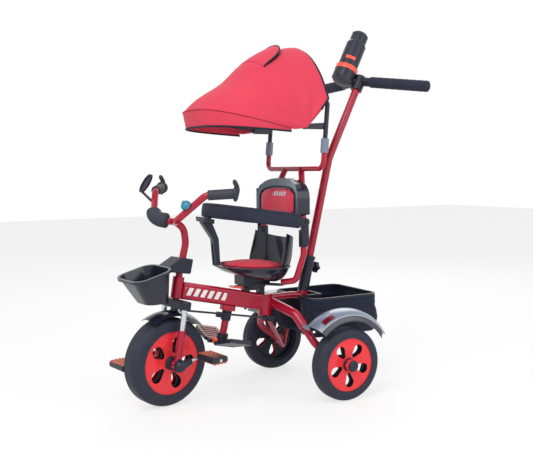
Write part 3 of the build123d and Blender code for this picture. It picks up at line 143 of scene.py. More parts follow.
class Finish:
    # One node-based material, with a Principled shader on constant sockets.
    def __init__(self, name, **sockets):
        self.material = bpy.data.materials.new(name)
        self.material.use_nodes = True
        self.tree = self.material.node_tree
        self.shader = self.tree.nodes["Principled BSDF"]
        for key, given in sockets.items():
            self.shader.inputs[key.replace("_", " ")].default_value = given

    def node(self, kind, settings=None, inputs=None, output=0):
        return addNode(self.tree, kind, settings, inputs, output)

    def place(self, centre=(0, 0, 0), turn=(0, 0, 0)):
        coords = self.node("TexCoord", output="Object")
        return self.node(
            "Mapping", {"vector_type": "TEXTURE"},
            {"Vector": coords, "Location": centre, "Rotation": turn})

    def parts(self, vector):
        split = self.node("SeparateXYZ", inputs={"Vector": vector})
        return [Value(self.tree, output) for output in split.socket.node.outputs]

    def noise(self, vector, scale, detail=3.0):
        return self.node("TexNoise", inputs={"Vector": vector, "Scale": scale, "Detail": detail})

    def blendColour(self, factor, first, second, mode="MIX"):
        mixed = self.node("Mix", {"data_type": "RGBA", "blend_type": mode})
        owner = mixed.socket.node
        for index, given in ((0, factor), (6, first), (7, second)):
            if isinstance(given, Value):
                self.tree.links.new(given.socket, owner.inputs[index])
            else:
                owner.inputs[index].default_value = given
        return Value(self.tree, owner.outputs[2])

    def within(self, value, low, high, soft=0.0004):
        # 1 between two levels and 0 outside them, over a soft edge.
        steps = []
        for start, end in ((low - soft, low + soft), (high + soft, high - soft)):
            steps.append(self.node("MapRange", inputs={"Value": value, "From Min": start, "From Max": end}))
        return steps[0] * steps[1]

    def feed(self, socket, given):
        self.tree.links.new(given.socket, self.shader.inputs[socket])

    def bump(self, height, strength, distance):
        self.feed("Normal", self.node("Bump", inputs={
            "Height": height, "Strength": strength, "Distance": distance}))

    def surface(self, where, colour, rough, grain):
        # rough: a noise's scale and detail, its spread and least; grain: scale, detail, strength, distance.
        self.feed("Base Color", colour)
        self.feed("Roughness", self.noise(where, *rough[:2]) * rough[2] + rough[3])
        self.bump(self.noise(where, *grain[:2]), *grain[2:])
        return self.material


def seenRay(tree):
    # 1 for the rays that look at the backdrop, straight or by a reflection.
    rays = addNode(tree, "LightPath")
    outputs = rays.socket.node.outputs
    seen = [Value(tree, outputs[name + " Ray"]) for name in ("Is Camera", "Is Glossy", "Is Transmission")]
    return seen[0].join("MAXIMUM", seen[1]).join("MAXIMUM", seen[2])


def setStage():
    s = stageSettings
    camera = bpy.data.objects.new("camera", bpy.data.cameras.new("camera"))
    scene.collection.objects.link(camera)
    camera.location = s["cameraPlace"]
    camera.rotation_euler = [math.radians(a) for a in s["cameraTurn"]]
    camera.data.lens = s["lens"]
    camera.data.shift_x, camera.data.shift_y = s["shift"]
    scene.camera = camera
    scene.view_settings.view_transform = "Standard"

    for name, (place, power, size) in s["lamps"].items():
        aimedLight(name, place, power, size)

    world = bpy.data.worlds.new("studio")
    scene.world = world
    world.use_nodes = True
    tree = world.node_tree
    background = tree.nodes["Background"]
    background.inputs["Color"].default_value = (1, 1, 1, 1)
    strength = seenRay(tree) * (1.0 - s["worldLight"]) + s["worldLight"]
    tree.links.new(strength.socket, background.inputs["Strength"])


def floor():
    s = stageSettings
    made = Finish("floorPaint", Roughness=0.9, Specular_IOR_Level=0.1)
    made.shader.inputs["Base Color"].default_value = s["floorColour"]
    glow = made.node("Emission", inputs={"Strength": 1.0})
    share = seenRay(made.tree) * s["floorGlow"]
    mixed = made.node("MixShader", inputs={"Fac": share})
    owner = mixed.socket.node
    made.tree.links.new(made.shader.outputs[0], owner.inputs[1])
    made.tree.links.new(glow.socket, owner.inputs[2])
    made.tree.links.new(mixed.socket, made.tree.nodes["Material Output"].inputs["Surface"])
    side = np.linspace(-s["floorReach"], s["floorReach"], 3)
    x, y = np.meshgrid(side, side)
    corners = np.stack([x.ravel(), y.ravel(), np.full(x.size, -s["floorDrop"])], 1)
    quads = [(i, i + 1, i + 4, i + 3) for i in (0, 1, 3, 4)]
    mesh = bpy.data.meshes.new("floor")
    mesh.from_pydata(corners.tolist(), [], quads)
    mesh.materials.append(made.material)
    ground = bpy.data.objects.new("floor", mesh)
    scene.collection.objects.link(ground)


# ---- finishes

tones = {
    "redPaint": (0.42, 0.006, 0.035, 1),
    "redPaintDark": (0.33, 0.003, 0.022, 1),
    "redPlastic": (0.74, 0.030, 0.040, 1),
    "redCloth": (0.72, 0.062, 0.105, 1),
    "redClothDark": (0.58, 0.040, 0.075, 1),
    "cushion": (0.74, 0.045, 0.09, 1),
    "black": (0.010, 0.012, 0.026, 1),
    "blackSoft": (0.022, 0.025, 0.042, 1),
    "navy": (0.012, 0.028, 0.060, 1),
    "maroon": (0.10, 0.004, 0.016, 1),
    "grey": (0.15, 0.18, 0.25, 1),
    "darkGrey": (0.045, 0.048, 0.06, 1),
    "steel": (0.72, 0.73, 0.76, 1),
    "teal": (0.02, 0.20, 0.27, 1),
    "orange": (0.86, 0.09, 0.05, 1),
    "white": (0.80, 0.78, 0.78, 1),
    # grey-blue painted reflection for the glossy front face of the back shell
    "reflectionSlate": (0.085, 0.135, 0.175, 1),
    "amber": (0.42, 0.085, 0.03, 1),
    "brick": (0.40, 0.11, 0.08, 1),
}


def shaded(colour, times, plus=0.0):
    return tuple(min(1, c * times + plus) for c in colour[:3]) + (1,)


def paintFinish(name, base, dark, roughness=0.26):
    made = Finish(name, Coat_Roughness=0.08, Specular_IOR_Level=0.3, Coat_Weight=0.3)
    where = made.place()
    colour = made.blendColour(made.noise(where, 6, 2), base, dark)
    return made.surface(where, colour, (40, 3, 0.08, roughness - 0.04), (260, 2, 0.035, 0.0004))


def plasticFinish(name, base, roughness=0.42, grain=1400, depth=0.08, coat=0.0):
    made = Finish(name, Specular_IOR_Level=0.3, Coat_Weight=coat * 0.6, Coat_Roughness=0.1)
    where = made.place()
    colour = made.blendColour(made.noise(where, 10, 2), base, shaded(base, 1.2, 0.002))
    return made.surface(where, colour, (45, 3, 0.12, roughness - 0.06), (grain, 2, depth, 0.0003))


def metalFinish(name, base, roughness):
    made = Finish(name, Metallic=1.0)
    where = made.place()
    colour = made.blendColour(made.noise(where, 30, 2), base, shaded(base, 0.85))
    return made.surface(where, colour, (160, 3, 0.12, roughness), (600, 1, 0.03, 0.0002))


def foamFinish(name, base, roughness=0.85):
    made = Finish(name, Specular_IOR_Level=0.15, Sheen_Weight=0.04, Sheen_Roughness=0.5)
    where = made.place()
    pores = made.node("TexVoronoi", inputs={"Vector": where, "Scale": 900.0})
    made.feed("Base Color", made.blendColour(made.noise(where, 35, 3), base, shaded(base, 1.45, 0.004)))
    made.feed("Roughness", made.noise(where, 80, 2) * 0.1 + (roughness - 0.05))
    made.bump(pores * 0.6 + made.noise(where, 120, 3) * 0.4, 0.2, 0.0006)
    return made.material


def clothFinish(name, base, dark, threads=900, depth=0.2, roughness=0.78, lining=None):
    made = Finish(name, Sheen_Weight=0.08, Sheen_Roughness=0.5, Specular_IOR_Level=0.15)
    where = made.place()
    x, y, z = made.parts(where)
    warp = ((x + z) * threads * 3.1416).join("SINE")
    weft = ((y - z) * threads * 3.1416).join("SINE")
    weave = warp * weft * 0.5 + 0.5
    tint = made.blendColour(made.noise(where, 7, 4), base, dark)
    tint = made.blendColour(weave * 0.18, tint, dark)
    if lining:
        facing = made.node("NewGeometry", output="Backfacing")
        tint = made.blendColour(facing, tint, lining)
    made.feed("Base Color", tint)
    made.feed("Roughness", made.noise(where, 50, 2) * 0.1 + (roughness - 0.05))
    made.bump(weave * 0.6 + made.noise(where, 60, 3) * 0.4, depth, 0.0006)
    return made.material


def tyreFinish(name, centre, turn, reach, crown):
    # Fine ribs across the tread, smooth sides with a faint ring near the rim.
    made = Finish(name, Specular_IOR_Level=0.22)
    where = made.place(centre, turn)
    x, y, z = made.parts(where)
    angle = z.join("ARCTAN2", x)
    out = (x * x + z * z).join("SQRT")
    tread = made.within(out, crown, reach + 0.01, 0.001)
    ribs = (angle * 96).join("SINE") * 0.5 + 0.5
    ring = (out * 1400).join("SINE") * 0.5 + 0.5
    worn = (0.034, 0.038, 0.056, 1)
    made.feed("Base Color", made.blendColour(made.noise(where, 30, 4), tones["blackSoft"], worn))
    made.feed("Roughness", made.noise(where, 55, 3) * 0.15 + 0.5)
    made.bump(ribs * tread * 0.8 + ring * 0.12 + made.noise(where, 500, 2) * 0.15, 0.3, 0.001)
    return made.material


def barsOn(made, along, across, low, high, half, pitch=0.023, share=0.62, slant=0.35):
    # Slanted bars in a band: 1 on a bar and 0 between them.
    stripe = ((along + across * slant) / pitch).join("FRACT")
    band = made.within(along, low, high) * made.within(across, -half, half)
    return band * made.within(stripe, 0.02, share, 0.03)


beamMiddle = (0.357, 0, 0.3200)
beamSlope = math.radians(12.4)
rearAxle = (0, 0, 0.109)
hoodEdge = 0.1475  # radius about the rear axle where a hood's pale edge begins
shellHollow = 0.572  # x of the upright axis about which the back shell's front is hollow


def beamFinish(name):
    # Painted metal with plain pale bars along both sides.
    made = Finish(name, Coat_Roughness=0.08, Specular_IOR_Level=0.3, Coat_Weight=0.3)
    x, y, z = made.parts(made.place(beamMiddle, (0, -beamSlope, 0)))
    side = y.join("ABSOLUTE") > 0.0125
    bars = barsOn(made, x, z, -0.068, 0.068, 0.0115) * side
    where = made.place()
    paint = made.blendColour(made.noise(where, 6, 2), tones["redPaint"], tones["redPaintDark"])
    colour = made.blendColour(bars, paint, tones["white"])
    return made.surface(where, colour, (40, 3, 0.08, 0.22), (260, 2, 0.035, 0.0004))


def padFinish(name):
    # Vinyl-coated cloth with a short row of plain pale bars across the chest.
    made = Finish(name, Sheen_Weight=0.05, Specular_IOR_Level=0.3)
    where = made.place()
    x, y, z = made.parts(where)
    bars = barsOn(made, y, z - 0.6125, -0.022, 0.058, 0.0065, 0.016, 0.7, 0.5)
    cloth = made.blendColour(made.noise(where, 9, 4), tones["cushion"], tones["redClothDark"])
    made.feed("Base Color", made.blendColour(bars, cloth, (0.62, 0.64, 0.68, 1)))
    made.feed("Roughness", made.noise(where, 50, 2) * 0.12 + 0.44)
    made.bump(made.noise(where, 700, 2) * 0.5 + made.noise(where, 60, 3) * 0.5, 0.15, 0.0006)
    return made.material


def hoodFinish(name):
    # Grey plastic above a pale edge, dark below it; the edge is a circle round the rear axle.
    made = Finish(name, Coat_Weight=0.5, Coat_Roughness=0.1)
    where = made.place(rearAxle)
    x, _, z = made.parts(where)
    out = (x * x + z * z).join("SQRT")
    grey = made.blendColour(made.noise(where, 12, 2), tones["grey"], shaded(tones["grey"], 1.25))
    tint = made.blendColour(made.within(out, 0.1, hoodEdge), grey, tones["blackSoft"])
    tint = made.blendColour(made.within(out, hoodEdge, 0.1495), tint, (0.42, 0.45, 0.52, 1))
    return made.surface(where, tint, (45, 3, 0.1, 0.28), (1200, 2, 0.05, 0.0003))


def shellFinish(name):
    # Gloss black; its hollow front face, a cylinder about an upright axis ahead of it, is painted slate grey
    # as a reflection of light on the gloss.
    made = Finish(name, Coat_Weight=0.3, Coat_Roughness=0.08, Specular_IOR_Level=0.35)
    where = made.place((shellHollow, 0, 0))
    x, y, _ = made.parts(where)
    out = (x * x + y * y).join("SQRT")
    # painted reflection: the front face is tinted slate grey
    reflectionSlate = made.within(out, 0.4785, 0.4808, 0.0002)
    colour = made.blendColour(reflectionSlate, tones["black"], tones["reflectionSlate"])
    return made.surface(where, colour, (45, 3, 0.1, 0.2), (1400, 2, 0.03, 0.0003))


def footPlateFinish(name):
    # Black underneath, a brick-red tread where the surface faces up.
    made = Finish(name, Coat_Weight=0.15, Specular_IOR_Level=0.3)
    where = made.place()
    facing = made.node("TexCoord", output="Normal")
    up = made.parts(facing)[2]
    worn = made.blendColour(made.noise(where, 60, 3), tones["brick"], shaded(tones["brick"], 0.6))
    colour = made.blendColour(made.within(up, 0.6, 1.5, 0.05), tones["black"], worn)
    return made.surface(where, colour, (60, 3, 0.15, 0.45), (900, 2, 0.1, 0.0004))


def pedalFinish(name, body):
    # Black blocks whose top and foot are an amber tread; the level is the pedal's own spindle.
    made = Finish(name, Coat_Weight=0.15)
    where = made.place(tuple(jointPlace(body + "_spin")[0]))
    amber = made.parts(where)[2].join("ABSOLUTE") > 0.0088
    colour = made.blendColour(amber, tones["black"], tones["amber"])
    return made.surface(where, colour, (60, 3, 0.15, 0.42), (900, 2, 0.1, 0.0004))


joints = {joint["name"]: joint for joint in frame["joints"]}


def jointPlace(name):
    return np.array(joints[name].get("pos_m", (0, 0, 0)), float), np.array(joints[name]["axis"], float)


plastics = {
    # tone, roughness, then the grain's scale and depth and the coat
    "redPlastic": (tones["redPlastic"], 0.34, 1400, 0.08, 0.25),
    "blackPlastic": (tones["black"], 0.38, 1400, 0.08, 0.2),
    "blackGloss": (tones["black"], 0.22, 1400, 0.03, 0.6),
    "blackMatt": (tones["blackSoft"], 0.6),
    "greyPlastic": (tones["grey"], 0.36, 1400, 0.08, 0.4),
    "darkGrey": (tones["darkGrey"], 0.45),
    "rubber": ((0.032, 0.035, 0.048, 1), 0.55, 900, 0.15),
    "teal": (tones["teal"], 0.25, 1400, 0.08, 0.5),
    "orange": (tones["orange"], 0.3, 1400, 0.08, 0.3),
    "reflector": ((0.13, 0.003, 0.015, 1), 0.12, 500, 0.3, 0.8),
}
cloths = {
    # tone and darker tone, threads, then depth, roughness and lining
    "binCloth": (tones["black"], (0.022, 0.026, 0.045, 1), 500),
    "redCloth": (tones["redCloth"], tones["redClothDark"], 900, 0.2, 0.78, tones["maroon"]),
    "cushionCloth": (tones["cushion"], tones["redClothDark"], 700),
    "piping": (tones["navy"], tones["black"], 1400, 0.3),
    "redPiping": (tones["redClothDark"], tones["maroon"], 1400, 0.3),
    # dark cloth laid under the vent flap as painted shade
    "ventMesh": (tones["maroon"], tones["black"], 1500, 0.4),
}
kinds = (
    (plasticFinish, plastics),
    (clothFinish, cloths),
    (paintFinish, {"redPaint": (tones["redPaint"], tones["redPaintDark"])}),
    (metalFinish, {"steel": (tones["steel"], 0.14)}),
    (foamFinish, {"foam": (tones["blackSoft"],), "foamSmooth": ((0.034, 0.037, 0.05, 1), 0.7)}),
    (beamFinish, {"beam": ()}),
    (padFinish, {"padCloth": ()}),
    (hoodFinish, {"hood": ()}),
    (shellFinish, {"shell": ()}),
    (footPlateFinish, {"footPlate": ()}),
    (pedalFinish, {"pedalLeft": ("pedal_left",), "pedalRight": ("pedal_right",)}),
    (tyreFinish, {
        "frontTyre": ((0.479, 0, 0.13), (0, 0, math.radians(12.5)), 0.130, 0.124),
        "rearTyre": (rearAxle, (0, 0, 0), 0.109, 0.104),
    }),
)
finishes = {name: maker(name, *given) for maker, table in kinds for name, given in table.items()}

nodeFinishes = {
    "beam": "main_beam",
    "shell": "backrest_shell",
    "hood": "rear_fender_left rear_fender_right",
    "footPlate": "foot_plate_left foot_plate_right",
    "pedalLeft": "pedal_left",
    "pedalRight": "pedal_right",
    "redPaint": "frame_leg_left frame_leg_right right_stay fork_legs handlebar backrest_frame "
                "footrest_stem push_bar",
    "redPlastic": "front_covers rear_cover_left rear_cover_right",
    "orange": "swivel_lever",
    "blackGloss": "seat_shell front_basket front_fender",
    "blackPlastic": "fork_crown front_basket_bracket seat_base seat_turntable footrest_clamp footrest_hub "
                    "bar_socket clamp_knob handle_hub guard_sockets crotch_post mirror bottle relay_lever "
                    "steering_rod canopy_posts canopy_front_bow canopy_mid_bow rear_basket_rim",
    "blackMatt": "front_rim rear_rim_left rear_rim_right",
    "steel": "fork_stanchions crank",
    "greyPlastic": "canopy_sleeves",
    "foam": "handlebar_foam handle_grips guard_ring",
    "binCloth": "rear_basket",
    "cushionCloth": "seat_cushion backrest_pad canopy_fabric",
    "teal": "bell",
    "frontTyre": "front_tyre",
    "rearTyre": "rear_tyre_left rear_tyre_right",
}


def dressNodes():
    for finish, names in nodeFinishes.items():
        for name in names.split():
            for entry in frame["nodes"][name].material_slots:
                entry.material = finishes[finish]


# ---- surfaces

def gridFaces(rows, cols, around):
    # Quads of a grid of points, row by row; around joins the last column to the first.
    i = np.arange(rows - 1)[:, None]
    j = np.arange(cols if around else cols - 1)[None, :]
    following = (j + 1) % cols
    corners = [i * cols + j, i * cols + following, (i + 1) * cols + following, (i + 1) * cols + j]
    return np.stack([np.broadcast_to(c, (rows - 1, j.size)) for c in corners], -1).reshape(-1, 4)


def addPiece(name, points, finish, body, around=False, capped=False, replaced=(), sharp=None):
    # One object from a grid of points; capped closes both ends with a point in their middle.
    points = np.asarray(points, float)
    rows, cols = points.shape[:2]
    vertices = points.reshape(-1, 3)
    faces = gridFaces(rows, cols, around).tolist()
    if capped:
        ends = points[[0, -1]].mean(axis=1)
        j = np.arange(cols)
        for pole, row, order in ((rows * cols, 0, -1), (rows * cols + 1, rows - 1, 1)):
            ring = np.stack([j + row * cols, (j + 1) % cols + row * cols, np.full(cols, pole)], 1)
            faces += ring[:, ::order].tolist()
        vertices = np.vstack([vertices, ends])
    mesh = bpy.data.meshes.new(name)
    mesh.from_pydata(vertices.tolist(), [], faces)
    made = bpy.data.objects.new(name, mesh)
    scene.collection.objects.link(made)
    if around and capped:
        faceOutwards(made)
    mesh.materials.append(finishes[finish])
    mesh.polygons.foreach_set("use_smooth", [True] * len(mesh.polygons))
    if sharp:
        mesh.set_sharp_from_angle(angle=math.radians(sharp))
    if body:
        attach(made, body)
    if replaced:
        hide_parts(*replaced)
    return made


def faceOutwards(piece):
    # Merges doubled points and turns the faces of a closed mesh outwards.
    shape = bmesh.new()
    shape.from_mesh(piece.data)
    bmesh.ops.remove_doubles(shape, verts=shape.verts, dist=1e-6)
    bmesh.ops.recalc_face_normals(shape, faces=shape.faces)
    shape.to_mesh(piece.data)
    shape.free()


def settled(piece):
    # Applies a piece's modifiers to its mesh.
    seen = piece.evaluated_get(bpy.context.evaluated_depsgraph_get())
    mesh = bpy.data.meshes.new_from_object(seen)
    piece.modifiers.clear()
    piece.data = mesh


def modified(piece, kind, **settings):
    made = piece.modifiers.new(kind.lower(), kind)
    for key, given in settings.items():
        setattr(made, key, given)


def curveThrough(rows, at):
    # Natural cubic spline through evenly spaced rows of points; each column is read at its own place.
    count = len(rows)
    system = np.zeros((count, count))
    system[0, 0] = system[-1, -1] = 1
    inner = np.arange(1, count - 1)
    system[inner, inner - 1] = system[inner, inner + 1] = 1
    system[inner, inner] = 4
    bends = np.zeros_like(rows)
    bends[1:-1] = 6 * np.diff(rows, n=2, axis=0)
    bends = np.linalg.solve(system, bends.reshape(count, -1)).reshape(rows.shape)
    k = np.clip(np.floor(at).astype(int), 0, count - 2)
    column = np.arange(len(at))
    after = (at - k)[:, None]
    before = 1 - after
    return (
        rows[k, column] * before + rows[k + 1, column] * after
        + 1 / 6 * ((before ** 3 - before) * bends[k, column] + (after ** 3 - after) * bends[k + 1, column])
    )


def evenly(points, count=0, step=0.0):
    # A route with its points evenly spaced: a count of them, or one every step round a closed one.
    run = np.r_[0, np.cumsum(np.linalg.norm(np.diff(points, axis=0), axis=1))]
    even = np.linspace(0, run[-1], count or int(run[-1] / step), endpoint=not step)
    return np.stack([np.interp(even, run, column) for column in points.T], -1)


def unit(vectors):
    return vectors / np.maximum(np.linalg.norm(vectors, axis=-1, keepdims=True), 1e-12)


def sweep(route, across, upward, reference=(0, 0, 1), closed=False):
    # Each point of the route plus a profile: across by its side, upward by its normal.
    route = np.asarray(route, float)
    if closed:
        tangent = unit(np.roll(route, -1, axis=0) - np.roll(route, 1, axis=0))
    else:
        tangent = unit(np.gradient(route, axis=0))
    reference = np.broadcast_to(np.asarray(reference, float), route.shape)
    side = unit(np.cross(tangent, reference))
    normal = np.cross(side, tangent)
    across, upward = np.atleast_2d(across), np.atleast_2d(upward)
    return route[:, None] + side[:, None] * across[..., None] + normal[:, None] * upward[..., None]


def fullTurn(count):
    return np.linspace(0, 2 * np.pi, count, endpoint=False)


def circle(radius, count=14):
    turn = fullTurn(count)
    return radius * np.cos(turn), radius * np.sin(turn)


def rounded(halfWidth, halfHeight, power, count=40):
    # A rounded rectangle: |x/a|^n + |y/b|^n = 1.
    turn = fullTurn(count)
    across = halfWidth * np.sign(np.cos(turn)) * np.abs(np.cos(turn)) ** (2 / power)
    upward = halfHeight * np.sign(np.sin(turn)) * np.abs(np.sin(turn)) ** (2 / power)
    return across, upward


def tubePiece(name, route, radius, finish, body, reference=(0, 0, 1), closed=False, count=14):
    points = sweep(route, *circle(radius, count), reference=reference, closed=closed)
    if closed:
        points = np.concatenate([points, points[:1]])
        made = addPiece(name, points, finish, None, around=True)
        faceOutwards(made)
    else:
        made = addPiece(name, points, finish, None, around=True, capped=True)
    if body:
        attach(made, body)
    return made


def turnedPiece(name, place, axis, profile, finish, body, count=32, sharp=40):
    # A profile of (radius, height) pairs turned about an axis.
    axis = unit(np.asarray(axis, float))
    helper = np.array([0.0, 0, 1]) if abs(axis[2]) < 0.9 else np.array([1.0, 0, 0])
    first = unit(np.cross(axis, helper))
    second = np.cross(axis, first)
    turn = fullTurn(count)
    radius, height = np.asarray(profile, float).T
    ring = first * np.cos(turn)[:, None] + second * np.sin(turn)[:, None]
    points = np.asarray(place) + axis * height[:, None, None] + ring * radius[:, None, None]
    return addPiece(name, points, finish, body, around=True, capped=True, sharp=sharp)


def readPoints(mesh):
    co = np.empty(len(mesh.vertices) * 3)
    mesh.vertices.foreach_get("co", co)
    return co.reshape(-1, 3)


def puffed(piece, voxel, pressure, cap, frames=20):
    # Blows a closed piece up as stuffed cloth: remeshed, then a cloth run with its moves capped.
    modified(piece, "REMESH", mode="VOXEL", voxel_size=voxel, use_smooth_shade=True)
    settled(piece)
    before = readPoints(piece.data)
    cloth = piece.modifiers.new("cloth", "CLOTH")
    cloth.settings.use_pressure = True
    cloth.settings.uniform_pressure_force = pressure
    cloth.settings.effector_weights.gravity = 0
    for number in range(1, frames + 1):
        scene.frame_set(number)
    settled(piece)
    scene.frame_set(1)
    move = readPoints(piece.data) - before
    length = np.linalg.norm(move, axis=1, keepdims=True)
    move *= np.minimum(1, cap / np.maximum(length, 1e-9))
    piece.data.vertices.foreach_set("co", (before + move).ravel())
    piece.data.update()


# ---- frames of the part that the new pieces are placed in

class Placing:
    # Turns places ahead, to the left and up in one part's own frame into the row frame.
    def __init__(self, origin, forward, up):
        self.origin = np.asarray(origin, float)
        self.up = unit(np.asarray(up, float))
        self.forward = unit(np.asarray(forward, float))
        self.left = np.cross(self.up, self.forward)

    def at(self, points):
        points = np.asarray(points, float)
        flat = points[..., :1] * self.forward + points[..., 1:2] * self.left
        return self.origin + flat + points[..., 2:] * self.up


axlePlace, steerUp = jointPlace("steer")
spinLeft = jointPlace("front_wheel_spin")[1]
fork = Placing(axlePlace, np.cross(spinLeft, steerUp), steerUp)
barFoot, barUp = jointPlace("bar_turn")
bar = Placing(barFoot, -jointPlace("clamp_knob_turn")[1], barUp)


def tilted(origin, degrees):
    # A frame whose front is tipped up by an angle about the Y axis.
    tilt = math.radians(degrees)
    ahead, rise = math.cos(tilt), math.sin(tilt)
    return Placing(origin, (ahead, 0, rise), (-rise, 0, ahead))


ring = tilted(jointPlace("guard_lift")[0], 8.5)
sides = (("Left", 1), ("Right", -1))


# ---- canopy: one sheet over its ribs, a band below the brim, piping, a vent flap

canopySettings = {
    # each rib: its foot's x and z in mm, its plane's rise in degrees, reach, half width and squareness
    "ribs": (
        (15.5, 826.5, 83.1, 230, 173, 2.0), (55, 817, 85.1, 245, 173, 2.05), (92, 808, 64, 234, 171, 2.15),
        (118, 804, 44, 216, 169, 2.3), (138, 802, 25, 234.5, 167, 2.5), (149, 804, 12.6, 255, 165, 2.8),
    ),
    "rim": (149, 796, 3.5, 234, 164, 3.0),
    "rows": 84,
    "bandRows": 10,
    "columns": 150,
    "sag": 0.0025,
    "middle": (0.11, 0, 0.83),
    "hinge": (0.095, 0.811),  # the bows' axis, seen from the side
    # the vent flap: where it is sewn on, its reach back, its half width in radians and its lift
    "flapFoot": 2.15,
    "flapReach": 0.80,
    "flapHalf": 0.51,
    "flapLift": 0.013,
    "cut": ((0.099, 0.809), (-0.030, 0.954)),  # the rear lower edge, seen from the side
    "thickness": 0.0012,
    "flat": (0.66, 0.52),
    "area": 0.262,
}


def ribLine(rib, turn):
    # Half ellipse with squared shoulders: reach * sin^(2/n) up the plane, half * cos^(2/n) across.
    x, z, rise, reach, half, square = rib
    up = np.sin(turn).clip(0) ** (2 / square) * reach
    across = np.sign(np.cos(turn)) * np.abs(np.cos(turn)) ** (2 / square) * half
    rise = math.radians(rise)
    return np.stack([x + up * math.cos(rise), across, z + up * math.sin(rise)], -1) / 1000


def ribTurns(count):
    # Spacing that is even along the rib, not along its angle.
    even = np.linspace(0, np.pi, count)
    return even - 0.16 * np.sin(2 * even)


def canopyAt(along, turn):
    # The cloth at places along its length (0 rear arch, 5 brim) and round its arch.
    s = canopySettings
    along, turn = np.broadcast_arrays(np.asarray(along, float), np.asarray(turn, float))
    lines = np.stack([ribLine(rib, turn.ravel()) for rib in s["ribs"]])
    made = curveThrough(lines, along.ravel()).reshape(along.shape + (3,))
    # Between its bows the cloth sags a little towards the inside.
    hang = s["sag"] * np.sin(np.pi * np.clip(along, 0, 5) / 2) ** 2 * np.sin(turn) ** 2
    return made + unit(np.array(s["middle"]) - made) * hang[..., None]


def canopyOutward(along, turn):
    # The cloth's outward normal, from its slopes along and round it.
    step = 0.01
    slopeAlong = canopyAt(along + step, turn) - canopyAt(along - step, turn)
    slopeRound = canopyAt(along, turn + step) - canopyAt(along, turn - step)
    normal = unit(np.cross(slopeAlong, slopeRound))
    away = canopyAt(along, turn) - np.array(canopySettings["middle"])
    return normal * np.sign((normal * away).sum(-1, keepdims=True))


def canopyFabric():
    s = canopySettings
    turn = ribTurns(s["columns"])
    along = np.linspace(0, 5, s["rows"])
    main = canopyAt(along[:, None], turn[None, :])
    brim, rim = main[-1], ribLine(s["rim"], turn)
    drop = np.linspace(0, 1, s["bandRows"])[1:, None, None]
    band = brim * (1 - drop) + rim * drop
    points = np.concatenate([main, band])
    # Creases that run from the hinge up over the side.
    x, y, z = points[..., 0], points[..., 1], points[..., 2]
    hingeX, hingeZ = s["hinge"]
    reach = np.hypot(x - hingeX, z - hingeZ)
    angle = np.arctan2(z - hingeZ, x - hingeX)
    fold = np.sin(angle * 9 + np.sin(reach * 30) * 0.5) * np.exp(-((reach - 0.07) / 0.05) ** 2) * 0.0022
    points[..., 1] += np.sign(y) * fold * (np.abs(y) > 0.1)
    # The rear lower corners are cut from the hinges up to the arch.
    (x0, z0), (x1, z1) = s["cut"]
    way = unit(np.array([x1 - x0, z1 - z0]))
    off = (points[..., 0] - x0) * way[1] - (points[..., 2] - z0) * way[0]
    behind = np.minimum(off, 0) * (points[..., 2] < z1)
    points[..., 0] -= behind * way[1]
    points[..., 2] += behind * way[0]
    return points


def canopyFlap():
    # A half oval from a seam across the dome, whose free rear edge stands up over a dark cloth patch that
    # paints the shade under it.
    s = canopySettings
    angle = np.linspace(-np.pi / 2, np.pi / 2, 61)[None, :]
    reach = np.linspace(0, 1, 25)[:, None]
    along = s["flapFoot"] - s["flapReach"] * np.cos(angle) ** 0.8 * reach
    turn = np.pi / 2 - s["flapHalf"] * np.sign(angle) * np.abs(np.sin(angle)) ** 0.8 * (0.86 + 0.14 * reach)
    lift = s["flapLift"] * reach ** 1.4 * np.cos(angle).clip(0) ** 0.35 + 0.0007
    outward = canopyOutward(along, turn)
    cloth = canopyAt(along, turn)
    lifted = cloth + outward * lift[..., None]
    flap = addPiece("canopyFlap", lifted, "redCloth", None)
    modified(flap, "SOLIDIFY", thickness=s["thickness"], offset=0)
    settled(flap)
    edge = lifted[-1]
    binding = addPiece(
        "canopyFlapBinding", sweep(edge, *circle(0.0022, 10), reference=outward[-1]), "piping", None,
        around=True, capped=True)
    # A dark patch just over the dome under the flap: painted shade of the raised flap.
    mesh = addPiece("canopyVentShade", (cloth + outward * 0.0004)[6:], "ventMesh", None)
    return [flap, binding, mesh]


def hooded(piece):
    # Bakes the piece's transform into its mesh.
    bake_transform(piece)


def canopy():
    s = canopySettings
    points = canopyFabric()
    hood = addPiece("canopyHood", points, "redCloth", None)
    modified(hood, "SOLIDIFY", thickness=s["thickness"], offset=-1)
    settled(hood)
    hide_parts("canopy_fabric")
    middle = np.array(s["middle"])
    trims = canopyFlap()
    rows = s["rows"]
    edges = (
        ("canopyRimPiping", points[-1], 0.0028, "piping"),
        ("canopyBrimSeam", points[rows - 1], 0.0013, "redPiping"),
        ("canopyArchBinding", points[0], 0.0032, "piping"),
    )
    for name, line, radius, finish in edges:
        outward = unit(line - middle)
        route = sweep(line, *circle(radius, 10), reference=outward)
        trims.append(addPiece(name, route, finish, None, around=True, capped=True))
    for piece in [hood] + trims:
        hooded(piece)


# ---- seat cushion and back pad

cushionSettings = {
    "centre": (0.195, 0, 0.396),
    "tilt": 2.0,
    "radius": 0.0925,
    "low": -0.022,
    "high": 0.0075,
    "power": 3.6,
    "voxel": 0.0045,
    "pressure": 4.0,
    "cap": 0.0055,
    "pipingRing": 0.0962,
    "pipingHeight": 0.0015,
}
pipingRadius = 0.0019


def signedPower(wave, power):
    return np.sign(wave) * np.abs(wave) ** power


